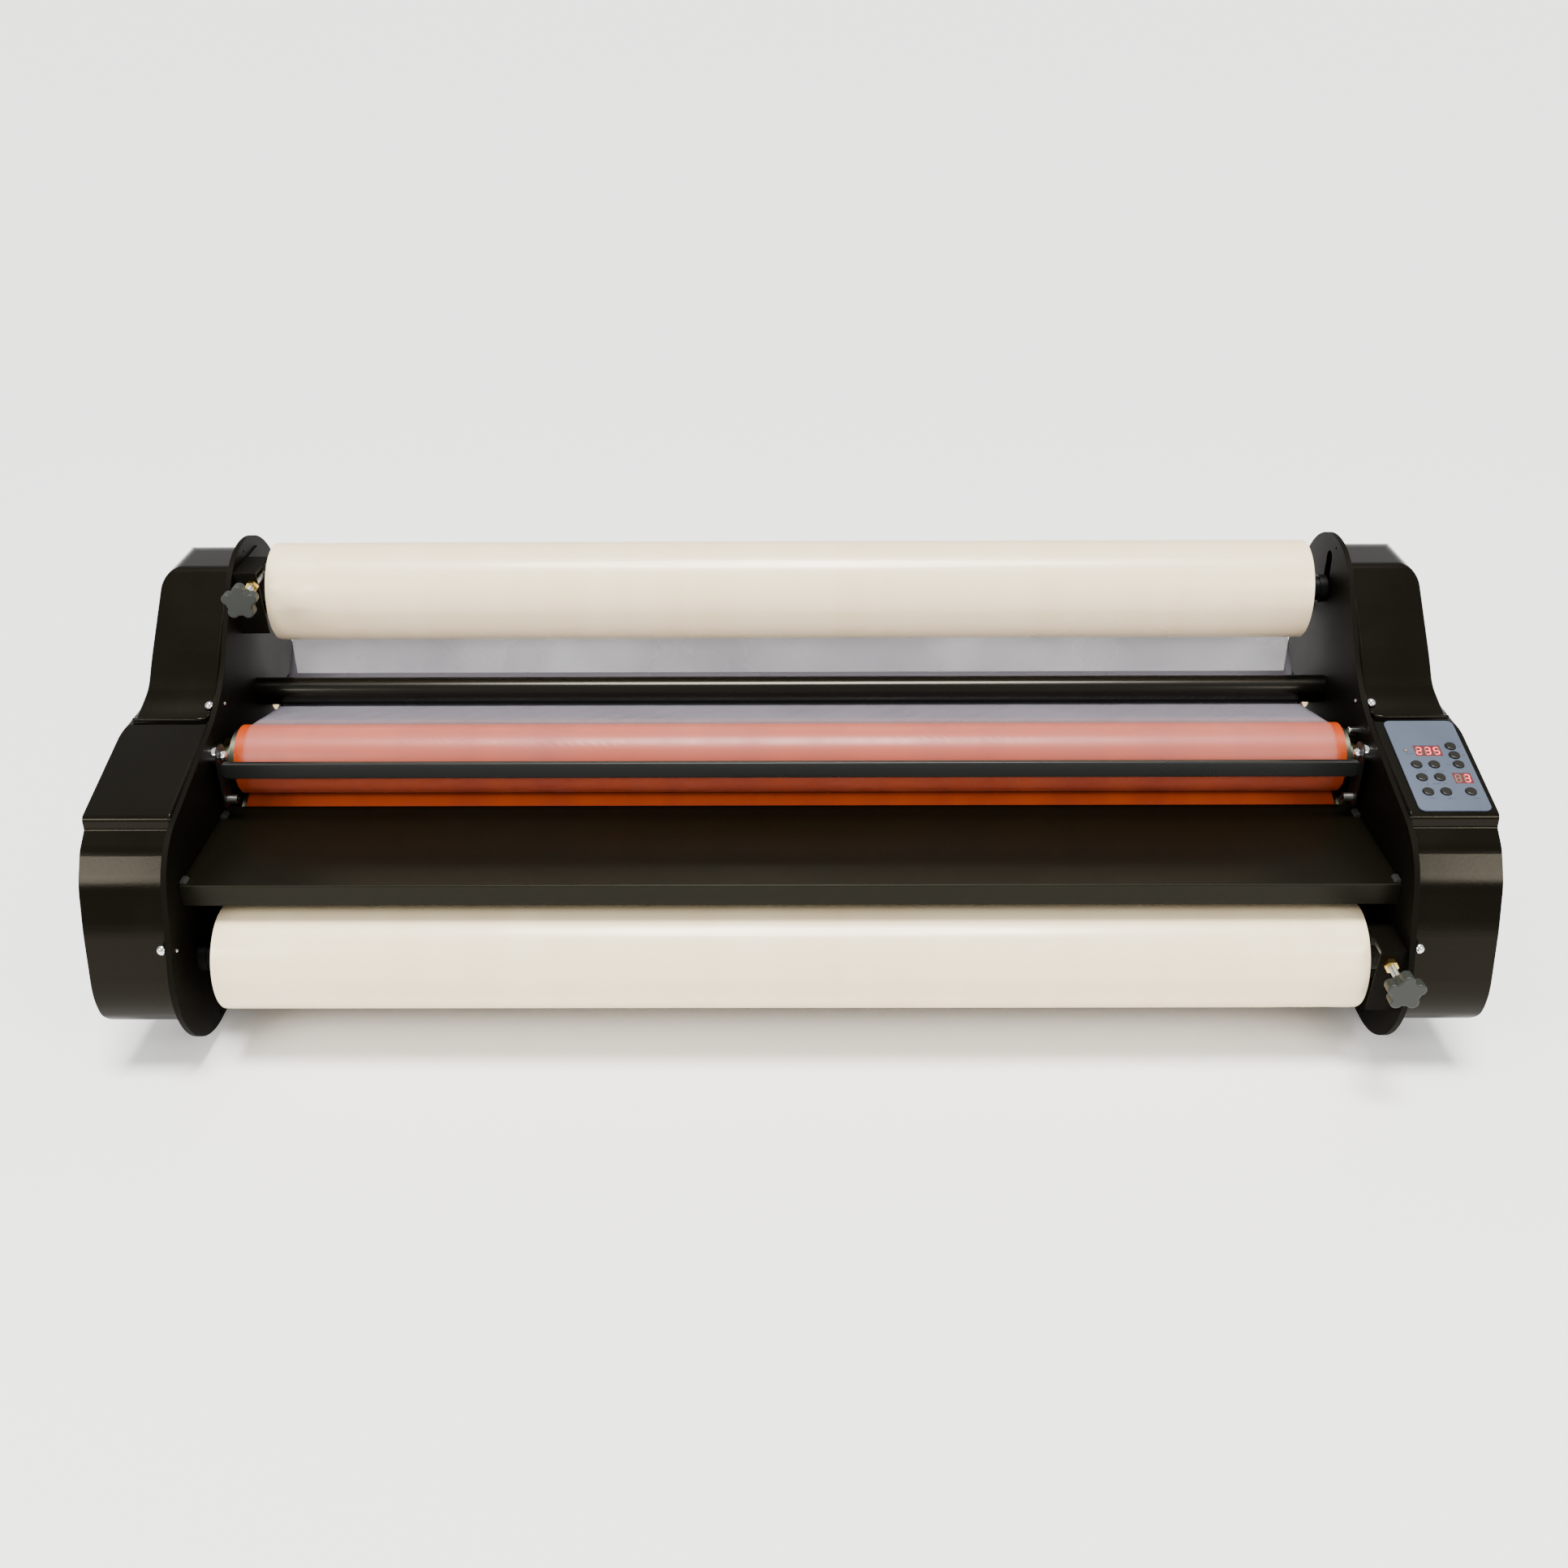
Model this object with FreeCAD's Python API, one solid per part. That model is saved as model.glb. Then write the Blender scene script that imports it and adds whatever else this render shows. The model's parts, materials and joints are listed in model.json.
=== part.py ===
"""Heated roll laminator for 1030 mm wide film: table-top machine with two supply rolls.

The machine is laid out in the layout frame: X to the right, Y to the back, Z up, with its zero at the
middle of the feed table's top front edge. save() shifts every piece to the stored frame, whose origin is
under the middle of the machine at floor level. Lengths are millimetres.
"""
import FreeCAD
import Part
import math
import os

V = FreeCAD.Vector
X_AXIS = V(1, 0, 0)

# ---- driving dimensions ---------------------------------------------------------------------------
PLATE_IN = 540.0          # inner face of a side plate, from the middle
PLATE_T = 5.0             # side plate thickness
PLATE_OUT = PLATE_IN + PLATE_T
PLATE_REAR = 397.0        # back edge of the side plates
PLATE_TOP = 207.6
PLATE_BASE = -148.0       # level of the plates' bottom edge and of the base pan
FLOOR = -178.0

COVER_UPPER_OUT = 611.0   # outer face of the cover's upper tier
COVER_FOOT = (621.5, 76.0)    # foot of the upper tier's flare, inside the pod: X and Z
COVER_LOWER_OUT = 624.0   # outer face of the cover's lower tier at the pod
COVER_BASE_OUT = 617.5    # the same face, drawn in towards the floor
COVER_WALL = 3.0
COVER_REAR = 388.0

FILM_HALF = 515.0         # half of the 1030 mm film width
FILM_T = 0.3
ROLL_R = 49.0
CORE_R = 17.5
CORE_BORE = 12.7
UPPER_ROLL = (314.4, 150.8)
LOWER_ROLL = (13.7, -85.8)

NIP_Z = 5.3
HEAT_Y = 163.3
HEAT_R = 33.0             # outside of the silicone sleeve
HEAT_TUBE_R = 28.0
HEAT_BORE_R = 23.0
HEAT_OFFSET = 33.7        # roller axis above or below the nip
SLEEVE_HALF = 524.0
TUBE_HALF = 530.0
HEAT_JOURNAL_R = 12.0

PULL_Y = 318.0
PULL_R = 25.0
PULL_OFFSET = 25.5
PULL_NIP_Z = 5.05
PULL_JOURNAL_R = 8.0

UPPER_IDLER = (271.0, 60.0)
LOWER_IDLER = (86.0, -62.0)
IDLER_R = 13.8
SPINDLE_R = 6.0           # fixed rod inside an idler tube

TABLE_HALF = 539.4
TABLE_FRONT = -3.5
TABLE_DEPTH = 139.0
TABLE_T = 1.5
TABLE_LIP = 20.5

GUARD_PIVOT = (123.0, 64.0)
GUARD_BAR = (113.0, 119.0, 44.0, 60.0)     # front, back, bottom, top
STOP_STUD = (160.0, 68.4)

BRAKE_RISE = 28.0         # tension screw above the supply shaft axis
BRAKE_FLANGE = -56.0      # front flange of the brake bracket, from the shaft axis
KNOB_REACH = -95.0        # middle of the star knob, from the shaft axis
KNOB_R = 17.3
KNOB_T = 12.0
UPPER_SCREW_X = -522.0
LOWER_SCREW_X = 526.5

RUN_CLEAR = 0.05          # radial clearance of a running fit
GAP = 0.4                 # clearance between pieces that move past each other

GEAR_X = (549.0, 557.0)
SPROCKET_X = (559.0, 565.0)
CHAIN_PITCH = 9.525
CHAIN_HALF_H = 4.0
HEAT_TEETH = 33
PULL_TEETH = 25
HEAT_SPROCKET = 21
PULL_SPROCKET = 16
MOTOR_SPROCKET = 14
MOTOR = (250.0, -95.0)

POD_TOP = (143.0, 86.0)
POD_FRONT = (20.0, 56.0)
POD_ANGLE = math.atan2(POD_TOP[1] - POD_FRONT[1], POD_TOP[0] - POD_FRONT[0])
BUTTON_R = 4.9
BUTTON_HOLE_R = 5.2
OVERLAY_T = 1.2
# key centres: distance from the middle plane, and layout depth Y on the sloping pod
BUTTONS = [(606.5, 108.0), (606.5, 96.0), (606.5, 83.8), (568.6, 83.8), (584.5, 83.8),
           (568.6, 67.2), (584.5, 67.2), (568.6, 48.8), (584.5, 48.8), (606.5, 48.8)]
DISPLAYS = [(572.0, 596.5, 95.3, 109.3), (596.5, 613.0, 59.3, 72.8)]

MID_Y = (PLATE_REAR + LOWER_ROLL[0] + KNOB_REACH - KNOB_T / 2) / 2
SHIFT = V(0, -MID_Y, -FLOOR)


# ---- helpers --------------------------------------------------------------------------------------
def save(name, *solids):
    """Shift the solids to the stored frame and write them as one node."""
    moved = []
    for solid in solids:
        copy = solid.copy()
        copy.translate(SHIFT)
        moved.append(copy)
    shape = moved[0] if len(moved) == 1 else Part.makeCompound(moved)
    shape.exportStep(os.path.join("parts", name + ".step"))
    volume = sum(s.Volume for s in moved) / 1000.0
    valid = all(s.isValid() and s.isClosed() for s in moved)
    print("%-24s %3d solid(s) %10.2f cm3 valid %s" % (name, len(shape.Solids), volume, valid))


def box(x0, x1, y0, y1, z0, z1):
    """Block between two corners."""
    return Part.makeBox(x1 - x0, y1 - y0, z1 - z0, V(x0, y0, z0))


def rod(place, radius, x0, x1):
    """Cylinder along X about the point place = (Y, Z)."""
    return Part.makeCylinder(radius, x1 - x0, V(x0, place[0], place[1]), X_AXIS)


def ring(place, r_in, r_out, x0, x1):
    """Tube along X about the point place."""
    return rod(place, r_out, x0, x1).cut(rod(place, r_in, x0 - 1, x1 + 1))


def fuse(*solids):
    """One solid from several that touch."""
    whole = solids[0]
    for solid in solids[1:]:
        whole = whole.fuse(solid)
    return whole.removeSplitter()


def mirrored(solid):
    """The same piece for the other side of the machine."""
    return solid.mirror(V(0, 0, 0), X_AXIS)


def outline(corners, x):
    """Closed wire in the plane X = x through corners (Y, Z, radius), each rounded by its radius."""
    edges = []
    ends = []
    for i, (y, z, radius) in enumerate(corners):
        here = V(x, y, z)
        before = V(x, corners[i - 1][0], corners[i - 1][1]) - here
        after = V(x, corners[(i + 1) % len(corners)][0], corners[(i + 1) % len(corners)][1]) - here
        before.normalize()
        after.normalize()
        if radius <= 0:
            ends.append((here, None, here))
            continue
        half = before.getAngle(after) / 2
        reach = radius / math.tan(half)
        middle = before + after
        middle.normalize()
        depth = radius / math.sin(half) - radius
        ends.append((here + before * reach, here + middle * depth, here + after * reach))
    for i, (start, top, end) in enumerate(ends):
        if top is not None:
            edges.append(Part.Arc(start, top, end).toShape())
        following = ends[(i + 1) % len(ends)][0]
        if (following - end).Length > 1e-6:
            edges.append(Part.LineSegment(end, following).toShape())
    return Part.Wire(edges)


def profile(corners, x0, x1, inset=0.0):
    """Solid between X = x0 and x1 with a rounded outline, drawn in by inset."""
    face = Part.Face(outline(corners, x0))
    if inset:
        face = face.makeOffset2D(-inset)
    return face.extrude(V(x1 - x0, 0, 0))


def across(corners, y0, y1, inset=0.0):
    """Solid between Y = y0 and y1 with a rounded outline of corners (X, Z, radius), drawn in by inset."""
    face = Part.Face(outline(corners, 0))
    if inset:
        face = face.makeOffset2D(-inset)
    face.rotate(V(0, 0, 0), V(0, 0, 1), -90)
    face.translate(V(0, y0, 0))
    return face.extrude(V(0, y1 - y0, 0))


def rounded_rim(solid, radius, back, low):
    """Round the outer edges of a cover that lie in front of Y = back and above Z = low."""
    rim = []
    for edge in solid.Edges:
        bounds = edge.BoundBox
        straight = bounds.ZLength < 1e-4 and min(bounds.XLength, bounds.YLength) < 1e-4
        wanted = bounds.YMax < back and bounds.ZMin > low and bounds.XMax > PLATE_OUT + 0.01
        if wanted and not straight:
            rim.append(edge)
    return solid.makeFillet(radius, rim)


def tangent_angle(a, b):
    """Heading of the straight run from wheel a to wheel b, each (Y, Z, radius, turn)."""
    dy, dz = b[0] - a[0], b[1] - a[1]
    lift = b[3] * b[2] - a[3] * a[2]
    return math.atan2(dz, dy) - math.asin(lift / math.hypot(dy, dz))


def wheel_point(wheel, heading, side):
    """Point of a path that leaves a wheel at this heading, side mm to the left of its centre line."""
    reach = side - wheel[3] * wheel[2]
    return (wheel[0] - math.sin(heading) * reach, wheel[1] + math.cos(heading) * reach)


def path_edges(wheels, headings, side, x):
    """Edges of a line that is wrapped round the wheels. headings[i] is the run from wheel i - 1 to i."""
    edges = []
    for i, wheel in enumerate(wheels):
        arrive, leave = headings[i], headings[i + 1]
        start = wheel_point(wheel, arrive, side)
        end = wheel_point(wheel, leave, side)
        turn = (leave - arrive) * wheel[3] % (2 * math.pi)
        if turn > 1e-6:
            top = wheel_point(wheel, arrive + wheel[3] * turn / 2, side)
            points = [V(x, p[0], p[1]) for p in (start, top, end)]
            edges.append(Part.Arc(*points).toShape())
        if i + 1 < len(wheels):
            onward = wheel_point(wheels[i + 1], leave, side)
            edges.append(Part.LineSegment(V(x, *end), V(x, *onward)).toShape())
    return edges


def band(wheels, headings, thickness, x0, x1, tail=0.0):
    """Flat band wrapped round the wheels; tail is a straight run after the last wheel."""
    half = thickness / 2
    left = path_edges(wheels, headings, half, x0)
    right = path_edges(wheels, headings, -half, x0)
    ends = []
    for side in (half, -half):
        y, z = wheel_point(wheels[-1], headings[-1], side)
        far = (y + tail * math.cos(headings[-1]), z + tail * math.sin(headings[-1]))
        ends.append((V(x0, y, z), V(x0, *far)))
    if tail:
        left.append(Part.LineSegment(*ends[0]).toShape())
        right.append(Part.LineSegment(*ends[1]).toShape())
    first = [V(x0, *wheel_point(wheels[0], headings[0], side)) for side in (half, -half)]
    caps = [Part.LineSegment(*first).toShape(), Part.LineSegment(ends[0][1], ends[1][1]).toShape()]
    wire = Part.Wire(Part.__sortEdges__(left + right + caps))
    return Part.Face(wire).extrude(V(x1 - x0, 0, 0))


def loop(wheels, side, x):
    """Closed wire round wheels that all lie inside it."""
    count = len(wheels)
    headings = [tangent_angle(wheels[i - 1], wheels[i]) for i in range(count)]
    headings.append(headings[0])
    edges = path_edges(wheels, headings, side, x)
    start = wheel_point(wheels[-1], headings[0], side)
    end = wheel_point(wheels[0], headings[0], side)
    edges.append(Part.LineSegment(V(x, *start), V(x, *end)).toShape())
    return Part.Wire(Part.__sortEdges__(edges))


def gear(place, teeth, module, bore, x_span, first_tooth):
    """Involute spur gear along X. first_tooth is the angle of one tooth's middle, in radians."""
    pitch_r = module * teeth / 2
    base_r = pitch_r * math.cos(math.radians(20))
    root_r = pitch_r - 1.25 * module
    tip_r = pitch_r + 0.95 * module
    half_pitch = math.pi / (2 * teeth) - 0.12 / pitch_r
    points = []
    for tooth in range(teeth):
        centre = first_tooth + 2 * math.pi * tooth / teeth
        flank = []
        for step in range(6):
            radius = max(root_r, base_r) + (tip_r - max(root_r, base_r)) * step / 5
            roll = math.sqrt(max(0.0, (radius / base_r) ** 2 - 1))
            at_pitch = math.sqrt((pitch_r / base_r) ** 2 - 1)
            bend = (roll - math.atan(roll)) - (at_pitch - math.atan(at_pitch))
            flank.append((radius, half_pitch - bend))
        if root_r < base_r:
            flank.insert(0, (root_r, flank[0][1]))
        for radius, half in flank:
            points.append((radius, centre - half))
        for radius, half in reversed(flank):
            points.append((radius, centre + half))
    corners = [V(x_span[0], place[0] + r * math.cos(a), place[1] + r * math.sin(a)) for r, a in points]
    wire = Part.makePolygon(corners + corners[:1])
    blank = Part.Face(wire).extrude(V(x_span[1] - x_span[0], 0, 0))
    return blank.cut(rod(place, bore, x_span[0] - 1, x_span[1] + 1))


def sprocket(place, teeth, bore):
    """Chain wheel whose teeth stop just inside the chain."""
    pitch_r = CHAIN_PITCH / (2 * math.sin(math.pi / teeth))
    tip_r = pitch_r - CHAIN_HALF_H - GAP
    points = []
    for tooth in range(teeth):
        centre = 2 * math.pi * tooth / teeth
        for radius, offset in ((tip_r - 3, -0.5), (tip_r - 3, -0.38), (tip_r, -0.12), (tip_r, 0.12),
                               (tip_r - 3, 0.38)):
            angle = centre + offset * 2 * math.pi / teeth
            points.append((radius, angle))
    x0 = SPROCKET_X[0]
    corners = [V(x0, place[0] + r * math.cos(a), place[1] + r * math.sin(a)) for r, a in points]
    wire = Part.makePolygon(corners + corners[:1])
    blank = Part.Face(wire).extrude(V(SPROCKET_X[1] - x0, 0, 0))
    return blank.cut(rod(place, bore, x0 - 1, SPROCKET_X[1] + 1))


def on_pod(solid):
    """Place a piece drawn flat (x across, y up the slope, z outwards) on the sloping pod."""
    placed = solid.copy()
    placed.rotate(V(0, 0, 0), X_AXIS, math.degrees(POD_ANGLE))
    placed.translate(V(0, POD_FRONT[0], POD_FRONT[1]))
    return placed


def slope(depth):
    """Distance up the pod's slope of a layout depth Y."""
    return (depth - POD_FRONT[0]) / math.cos(POD_ANGLE)


def dome(centre, direction, radius, height):
    """Domed screw head: a cap of a sphere on a flat seat."""
    ball_r = (radius ** 2 + height ** 2) / (2 * height)
    ball = Part.makeSphere(ball_r, V(0, 0, height - ball_r))
    seat = Part.makeCylinder(radius, height + 1.0)
    head = fuse(ball.common(seat), Part.makeCylinder(radius, 0.8, V(0, 0, -0.8)))
    head.Placement = FreeCAD.Placement(V(*centre), FreeCAD.Rotation(V(0, 0, 1), V(*direction)))
    return head


# ---- frame ----------------------------------------------------------------------------------------
UPPER_HEAT = (HEAT_Y, NIP_Z + HEAT_OFFSET)
LOWER_HEAT = (HEAT_Y, NIP_Z - HEAT_OFFSET)
UPPER_PULL = (PULL_Y, PULL_NIP_Z + PULL_OFFSET)
LOWER_PULL = (PULL_Y, PULL_NIP_Z - PULL_OFFSET)
SHAFT_END_R = 8.0
ROD_R = 7.0
ROD_Z = -TABLE_T - GAP - ROD_R
CROSS_RODS = [(30.0, ROD_Z), (110.0, ROD_Z), (375.0, 110.0), (235.0, -136.0)]
PLATE_CORNERS = [(-17.6, 43.8, 70), (173.9, 95.2, 145), (270, PLATE_TOP, 78), (PLATE_REAR, PLATE_TOP, 89.6),
                 (PLATE_REAR, PLATE_BASE, 25), (105, PLATE_BASE, 40), (68, -168, 60), (-86.4, -168, 82.5)]
HEAT_BUSH_R = 20.0
PULL_BUSH_R = 13.0
LOADING_SLOT_TOP = UPPER_ROLL[1] + 32.0


def side_plate(right):
    """One 5 mm steel side plate, as seen on the right; the left one is turned over at the end."""
    plate = profile(PLATE_CORNERS, PLATE_IN, PLATE_OUT)
    holes = [rod(UPPER_HEAT, HEAT_BUSH_R, 530, 550), rod(LOWER_HEAT, HEAT_BUSH_R, 530, 550),
             rod(UPPER_PULL, PULL_BUSH_R, 530, 550), rod(LOWER_PULL, PULL_BUSH_R, 530, 550),
             rod(UPPER_ROLL, SHAFT_END_R + RUN_CLEAR, 530, 550),
             rod(LOWER_ROLL, SHAFT_END_R + RUN_CLEAR, 530, 550),
             rod((300, 199), 1.5, 530, 550), rod((26, -160), 1.5, 530, 550)]
    if right:
        slot_r = SHAFT_END_R + RUN_CLEAR
        holes.append(box(530, 550, UPPER_ROLL[0] - slot_r, UPPER_ROLL[0] + slot_r,
                         UPPER_ROLL[1], LOADING_SLOT_TOP))
        holes.append(rod((UPPER_ROLL[0], LOADING_SLOT_TOP), slot_r, 530, 550))
        holes.append(rod(MOTOR, 9.0, 530, 550))
    for hole in holes:
        plate = plate.cut(hole)
    return plate if right else mirrored(plate)


COVER_LOWER = [(POD_TOP[0], POD_TOP[1], 5), (POD_FRONT[0], POD_FRONT[1], 6), (19, 44.6, 4.5), (2, 33.5, 30),
               (-17, 9, 60), (-31, -30, 150), (-47, -92, 60), (-36, -130, 26), (COVER_REAR, -130, 22),
               (COVER_REAR, POD_TOP[1], 10)]
COVER_UPPER = [(270, 194, 12), (354, 194, 60), (COVER_REAR, 120, 40), (COVER_REAR, 40, 20), (120, 40, 20),
               (120, 78.5, 0), (163.5, 86.5, 70), (195, 124.1, 250)]
INBOARD = PLATE_OUT - 2 * COVER_WALL      # the front outlines run past the plate, so a cover is open there
LOWER_FRONT = [(INBOARD, -130, 0), (COVER_BASE_OUT, -130, 22),
               (COVER_LOWER_OUT, POD_TOP[1], 5), (INBOARD, POD_TOP[1], 0)]
UPPER_FRONT = [(INBOARD, 30, 0), (COVER_FOOT[0], 30, 0), (*COVER_FOOT, 0),
               (COVER_UPPER_OUT, 106, 40), (COVER_UPPER_OUT, 194, 18), (INBOARD, 194, 0)]


def side_cover(right):
    """Vacuum-formed side cover: a narrow upper tier on a wider lower tier with the sloping pod."""
    reach = COVER_LOWER_OUT + 20
    lower = profile(COVER_LOWER, PLATE_OUT, reach).common(across(LOWER_FRONT, -80, 420))
    upper = profile(COVER_UPPER, PLATE_OUT, reach).common(across(UPPER_FRONT, 100, 420))
    upper = rounded_rim(upper, 3, 276, 80)
    lower_room = profile(COVER_LOWER, PLATE_OUT - 1, reach, COVER_WALL)
    lower_room = lower_room.common(across(LOWER_FRONT, -80, 420, COVER_WALL))
    upper_room = profile(COVER_UPPER, PLATE_OUT - 1, reach, COVER_WALL)
    upper_room = upper_room.common(across(UPPER_FRONT, 100, 420, COVER_WALL))
    shell = fuse(lower, upper).cut(lower_room).cut(upper_room)
    if right:
        window = box(562, 613.5, slope(41.5), slope(116), -COVER_WALL * 2, 5)
        return shell.cut(on_pod(window))
    return mirrored(shell)


os.makedirs("parts", exist_ok=True)

save("left_side_plate", side_plate(False))
save("right_side_plate", side_plate(True))
save("left_side_cover", side_cover(False))
save("right_side_cover", side_cover(True))

PAN_T = 1.5
PAN_FRONT = 112.0
PAN_FLANGE = -122.0
pan = fuse(box(-PLATE_IN, PLATE_IN, PAN_FRONT, COVER_REAR, PLATE_BASE, PLATE_BASE + PAN_T),
           box(-PLATE_IN, PLATE_IN, PAN_FRONT, PAN_FRONT + PAN_T, PLATE_BASE, PAN_FLANGE))
save("base_pan", pan)

PANEL_T = 2.0
REAR_TOP = -38.0
INLET = (430.0, 458.0, -100.0, -80.0)      # left, right, bottom, top of the inlet's cut-out
SWITCH = (474.0, 487.0, -99.5, -80.5)
rear = box(-PLATE_IN, PLATE_IN, COVER_REAR, COVER_REAR + PANEL_T, PLATE_BASE, REAR_TOP)
rear = fuse(rear, box(-PLATE_IN, PLATE_IN, COVER_REAR - 14, COVER_REAR, REAR_TOP - PANEL_T, REAR_TOP))
VENT_X = [-330 + 12 * i for i in range(12)] + [120 + 12 * i for i in range(12)]
for vent in VENT_X:
    rear = rear.cut(box(vent, vent + 4, 380, 400, -112, -62))
for left, right_edge, low, high in (INLET, SWITCH):
    rear = rear.cut(box(left, right_edge, 386.5, 400, low, high))
save("rear_panel", rear)

spindles = [rod(place, SPINDLE_R, -PLATE_IN, PLATE_IN) for place in (UPPER_IDLER, LOWER_IDLER)]
save("cross_rods", *([rod(place, ROD_R, -PLATE_IN, PLATE_IN) for place in CROSS_RODS] + spindles))

FOOT_PLACES = [(x, y) for x in (-500.0, 500.0) for y in (136.0, 366.0)]
FOOT_R = 18.0


def foot(x, y):
    """Tapered rubber foot under the base pan."""
    return Part.makeCone(FOOT_R, FOOT_R - 3, PLATE_BASE - FLOOR, V(x, y, FLOOR))


save("rubber_feet", *[foot(x, y) for x, y in FOOT_PLACES])

TIE_SCREW_HEAD = 3.0
heads = []
for place in CROSS_RODS:
    heads.append(dome((PLATE_OUT + 0.8, *place), (1, 0, 0), 5.5, TIE_SCREW_HEAD))
heads.append(dome((PLATE_IN - 0.8, 178.0, 91.0), (-1, 0, 0), 1.8, 1.0))
front_head = dome((-PLATE_IN + 0.8, -35.0, -47.0), (1, 0, 0), 1.8, 1.0)
save("frame_screws", *(heads + [mirrored(head) for head in heads] + [front_head]))

COVER_SCREW_X = 549.5
COVER_SCREWS = [((165.3, 95.8), (-0.56, 0.83)), ((-42.6, -42.0), (-0.98, 0.18))]
caps = [dome((COVER_SCREW_X, *place), (0, *normal), 4.6, 3.0) for place, normal in COVER_SCREWS]
save("cover_screws", *(caps + [mirrored(cap) for cap in caps]))

# ---- feed table and nip guard ---------------------------------------------------------------------
lip = (TABLE_FRONT, TABLE_FRONT + TABLE_T, TABLE_FRONT + 10)
table = fuse(box(-TABLE_HALF, TABLE_HALF, lip[0], TABLE_DEPTH, -TABLE_T, 0),
             box(-TABLE_HALF, TABLE_HALF, lip[0], lip[1], -TABLE_LIP, 0),
             box(-TABLE_HALF, TABLE_HALF, lip[0], lip[2], -TABLE_LIP, -TABLE_LIP + TABLE_T))
front_edges = [e for e in table.Edges
               if e.Length > 1000 and e.BoundBox.YMax < lip[0] + 0.01 and e.BoundBox.ZMin > -0.01]
save("feed_table", table.makeFillet(1.4, front_edges))

CLIP_H = 3.0
CLIP_W = 5.5
clips = []
for y0, y1 in ((-1.0, 9.0), (114.0, 126.0)):
    clip = box(TABLE_HALF - CLIP_W, TABLE_HALF, y0, y1, 0, CLIP_H)
    sloped = [e for e in clip.Edges if abs(e.BoundBox.XMax - (TABLE_HALF - CLIP_W)) < 0.01
              and abs(e.BoundBox.ZMin - CLIP_H) < 0.01]
    clips.append(clip.makeChamfer(2.2, sloped))
save("table_clips", *(clips + [mirrored(clip) for clip in clips]))

EAR_X = (530.5, 532.5)
BAR_HALF = 527.5
bar_front, bar_back, bar_low, bar_high = GUARD_BAR
bar = box(-BAR_HALF, BAR_HALF, bar_front, bar_back, bar_low, bar_high)
long_edges = [e for e in bar.Edges if e.Length > 1000]
bar = bar.makeFillet(1.4, long_edges)
tabs = box(-EAR_X[0], EAR_X[0], bar_front + 1.5, bar_back - 1.5, bar_low + 2, bar_high - 2)
save("guard_bar", fuse(bar, tabs))

EAR_CORNERS = [(112, 12, 5), (133, 12, 5), (133, 74, 8), (112, 74, 8)]
PIVOT_R = 3.0
PIN_PLACE = (118.5, 19.9)
PIN_LONG = 10.0
ear = profile(EAR_CORNERS, *EAR_X).cut(rod(GUARD_PIVOT, PIVOT_R + RUN_CLEAR, 530, 545))
pin = fuse(rod(PIN_PLACE, 3.3, EAR_X[0] - PIN_LONG, EAR_X[0]),
           rod(PIN_PLACE, 1.6, EAR_X[0] - PIN_LONG - 2, EAR_X[0]))
save("guard_ears", fuse(ear, pin), mirrored(fuse(ear, pin)))

pivot = fuse(rod(GUARD_PIVOT, PIVOT_R, EAR_X[0] - GAP, PLATE_IN),
             rod(GUARD_PIVOT, 9.0, EAR_X[1] + GAP, PLATE_IN),
             rod(GUARD_PIVOT, 4.8, EAR_X[0] - GAP - 1.2, EAR_X[0] - GAP),
             dome((EAR_X[0] - GAP - 1.2, *GUARD_PIVOT), (-1, 0, 0), 4.8, 4.0))

STUD_R = 4.0
STUD_LONG = PLATE_IN - TUBE_HALF - GAP    # it ends just clear of the upper roller's tube
stud = rod(STOP_STUD, STUD_R, PLATE_IN - STUD_LONG, PLATE_IN)
stud = stud.makeFillet(0.8, [e for e in stud.Edges if abs(e.BoundBox.XMax - (PLATE_IN - STUD_LONG)) < 0.01])
save("guard_pins", pivot, mirrored(pivot), stud)

# ---- heated nip rollers ---------------------------------------------------------------------------
HEAT_MODULE = 2 * HEAT_OFFSET / HEAT_TEETH
PULL_MODULE = 2 * PULL_OFFSET / PULL_TEETH


HEATER_HOLE_R = 7.5
HEATER_R = 5.0


def heat_roller(place):
    """Hollow steel roller with a stepped journal at each end."""
    body = rod(place, HEAT_TUBE_R, -TUBE_HALF, TUBE_HALF)
    neck = rod(place, 16.0, -TUBE_HALF - 6, TUBE_HALF + 6)
    journals = rod(place, HEAT_JOURNAL_R, -558, 570)
    solid = fuse(body, neck, journals)
    solid = solid.cut(rod(place, HEAT_BORE_R, -TUBE_HALF + 10, TUBE_HALF - 10))
    return solid.cut(rod(place, HEATER_HOLE_R, -560, 572))


for name, place in (("upper", UPPER_HEAT), ("lower", LOWER_HEAT)):
    save(name + "_heat_roller", heat_roller(place))
    save(name + "_roller_sleeve", ring(place, HEAT_TUBE_R, HEAT_R, -SLEEVE_HALF, SLEEVE_HALF))


def bush(place, r_in, r_out):
    """Plain bush pressed into a side plate."""
    return ring(place, r_in + RUN_CLEAR, r_out, PLATE_IN, PLATE_OUT + 3)


bushes = [bush(place, HEAT_JOURNAL_R, HEAT_BUSH_R) for place in (UPPER_HEAT, LOWER_HEAT)]
bushes += [bush(place, PULL_JOURNAL_R, PULL_BUSH_R) for place in (UPPER_PULL, LOWER_PULL)]
save("roller_bushes", *(bushes + [mirrored(piece) for piece in bushes]))

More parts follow.
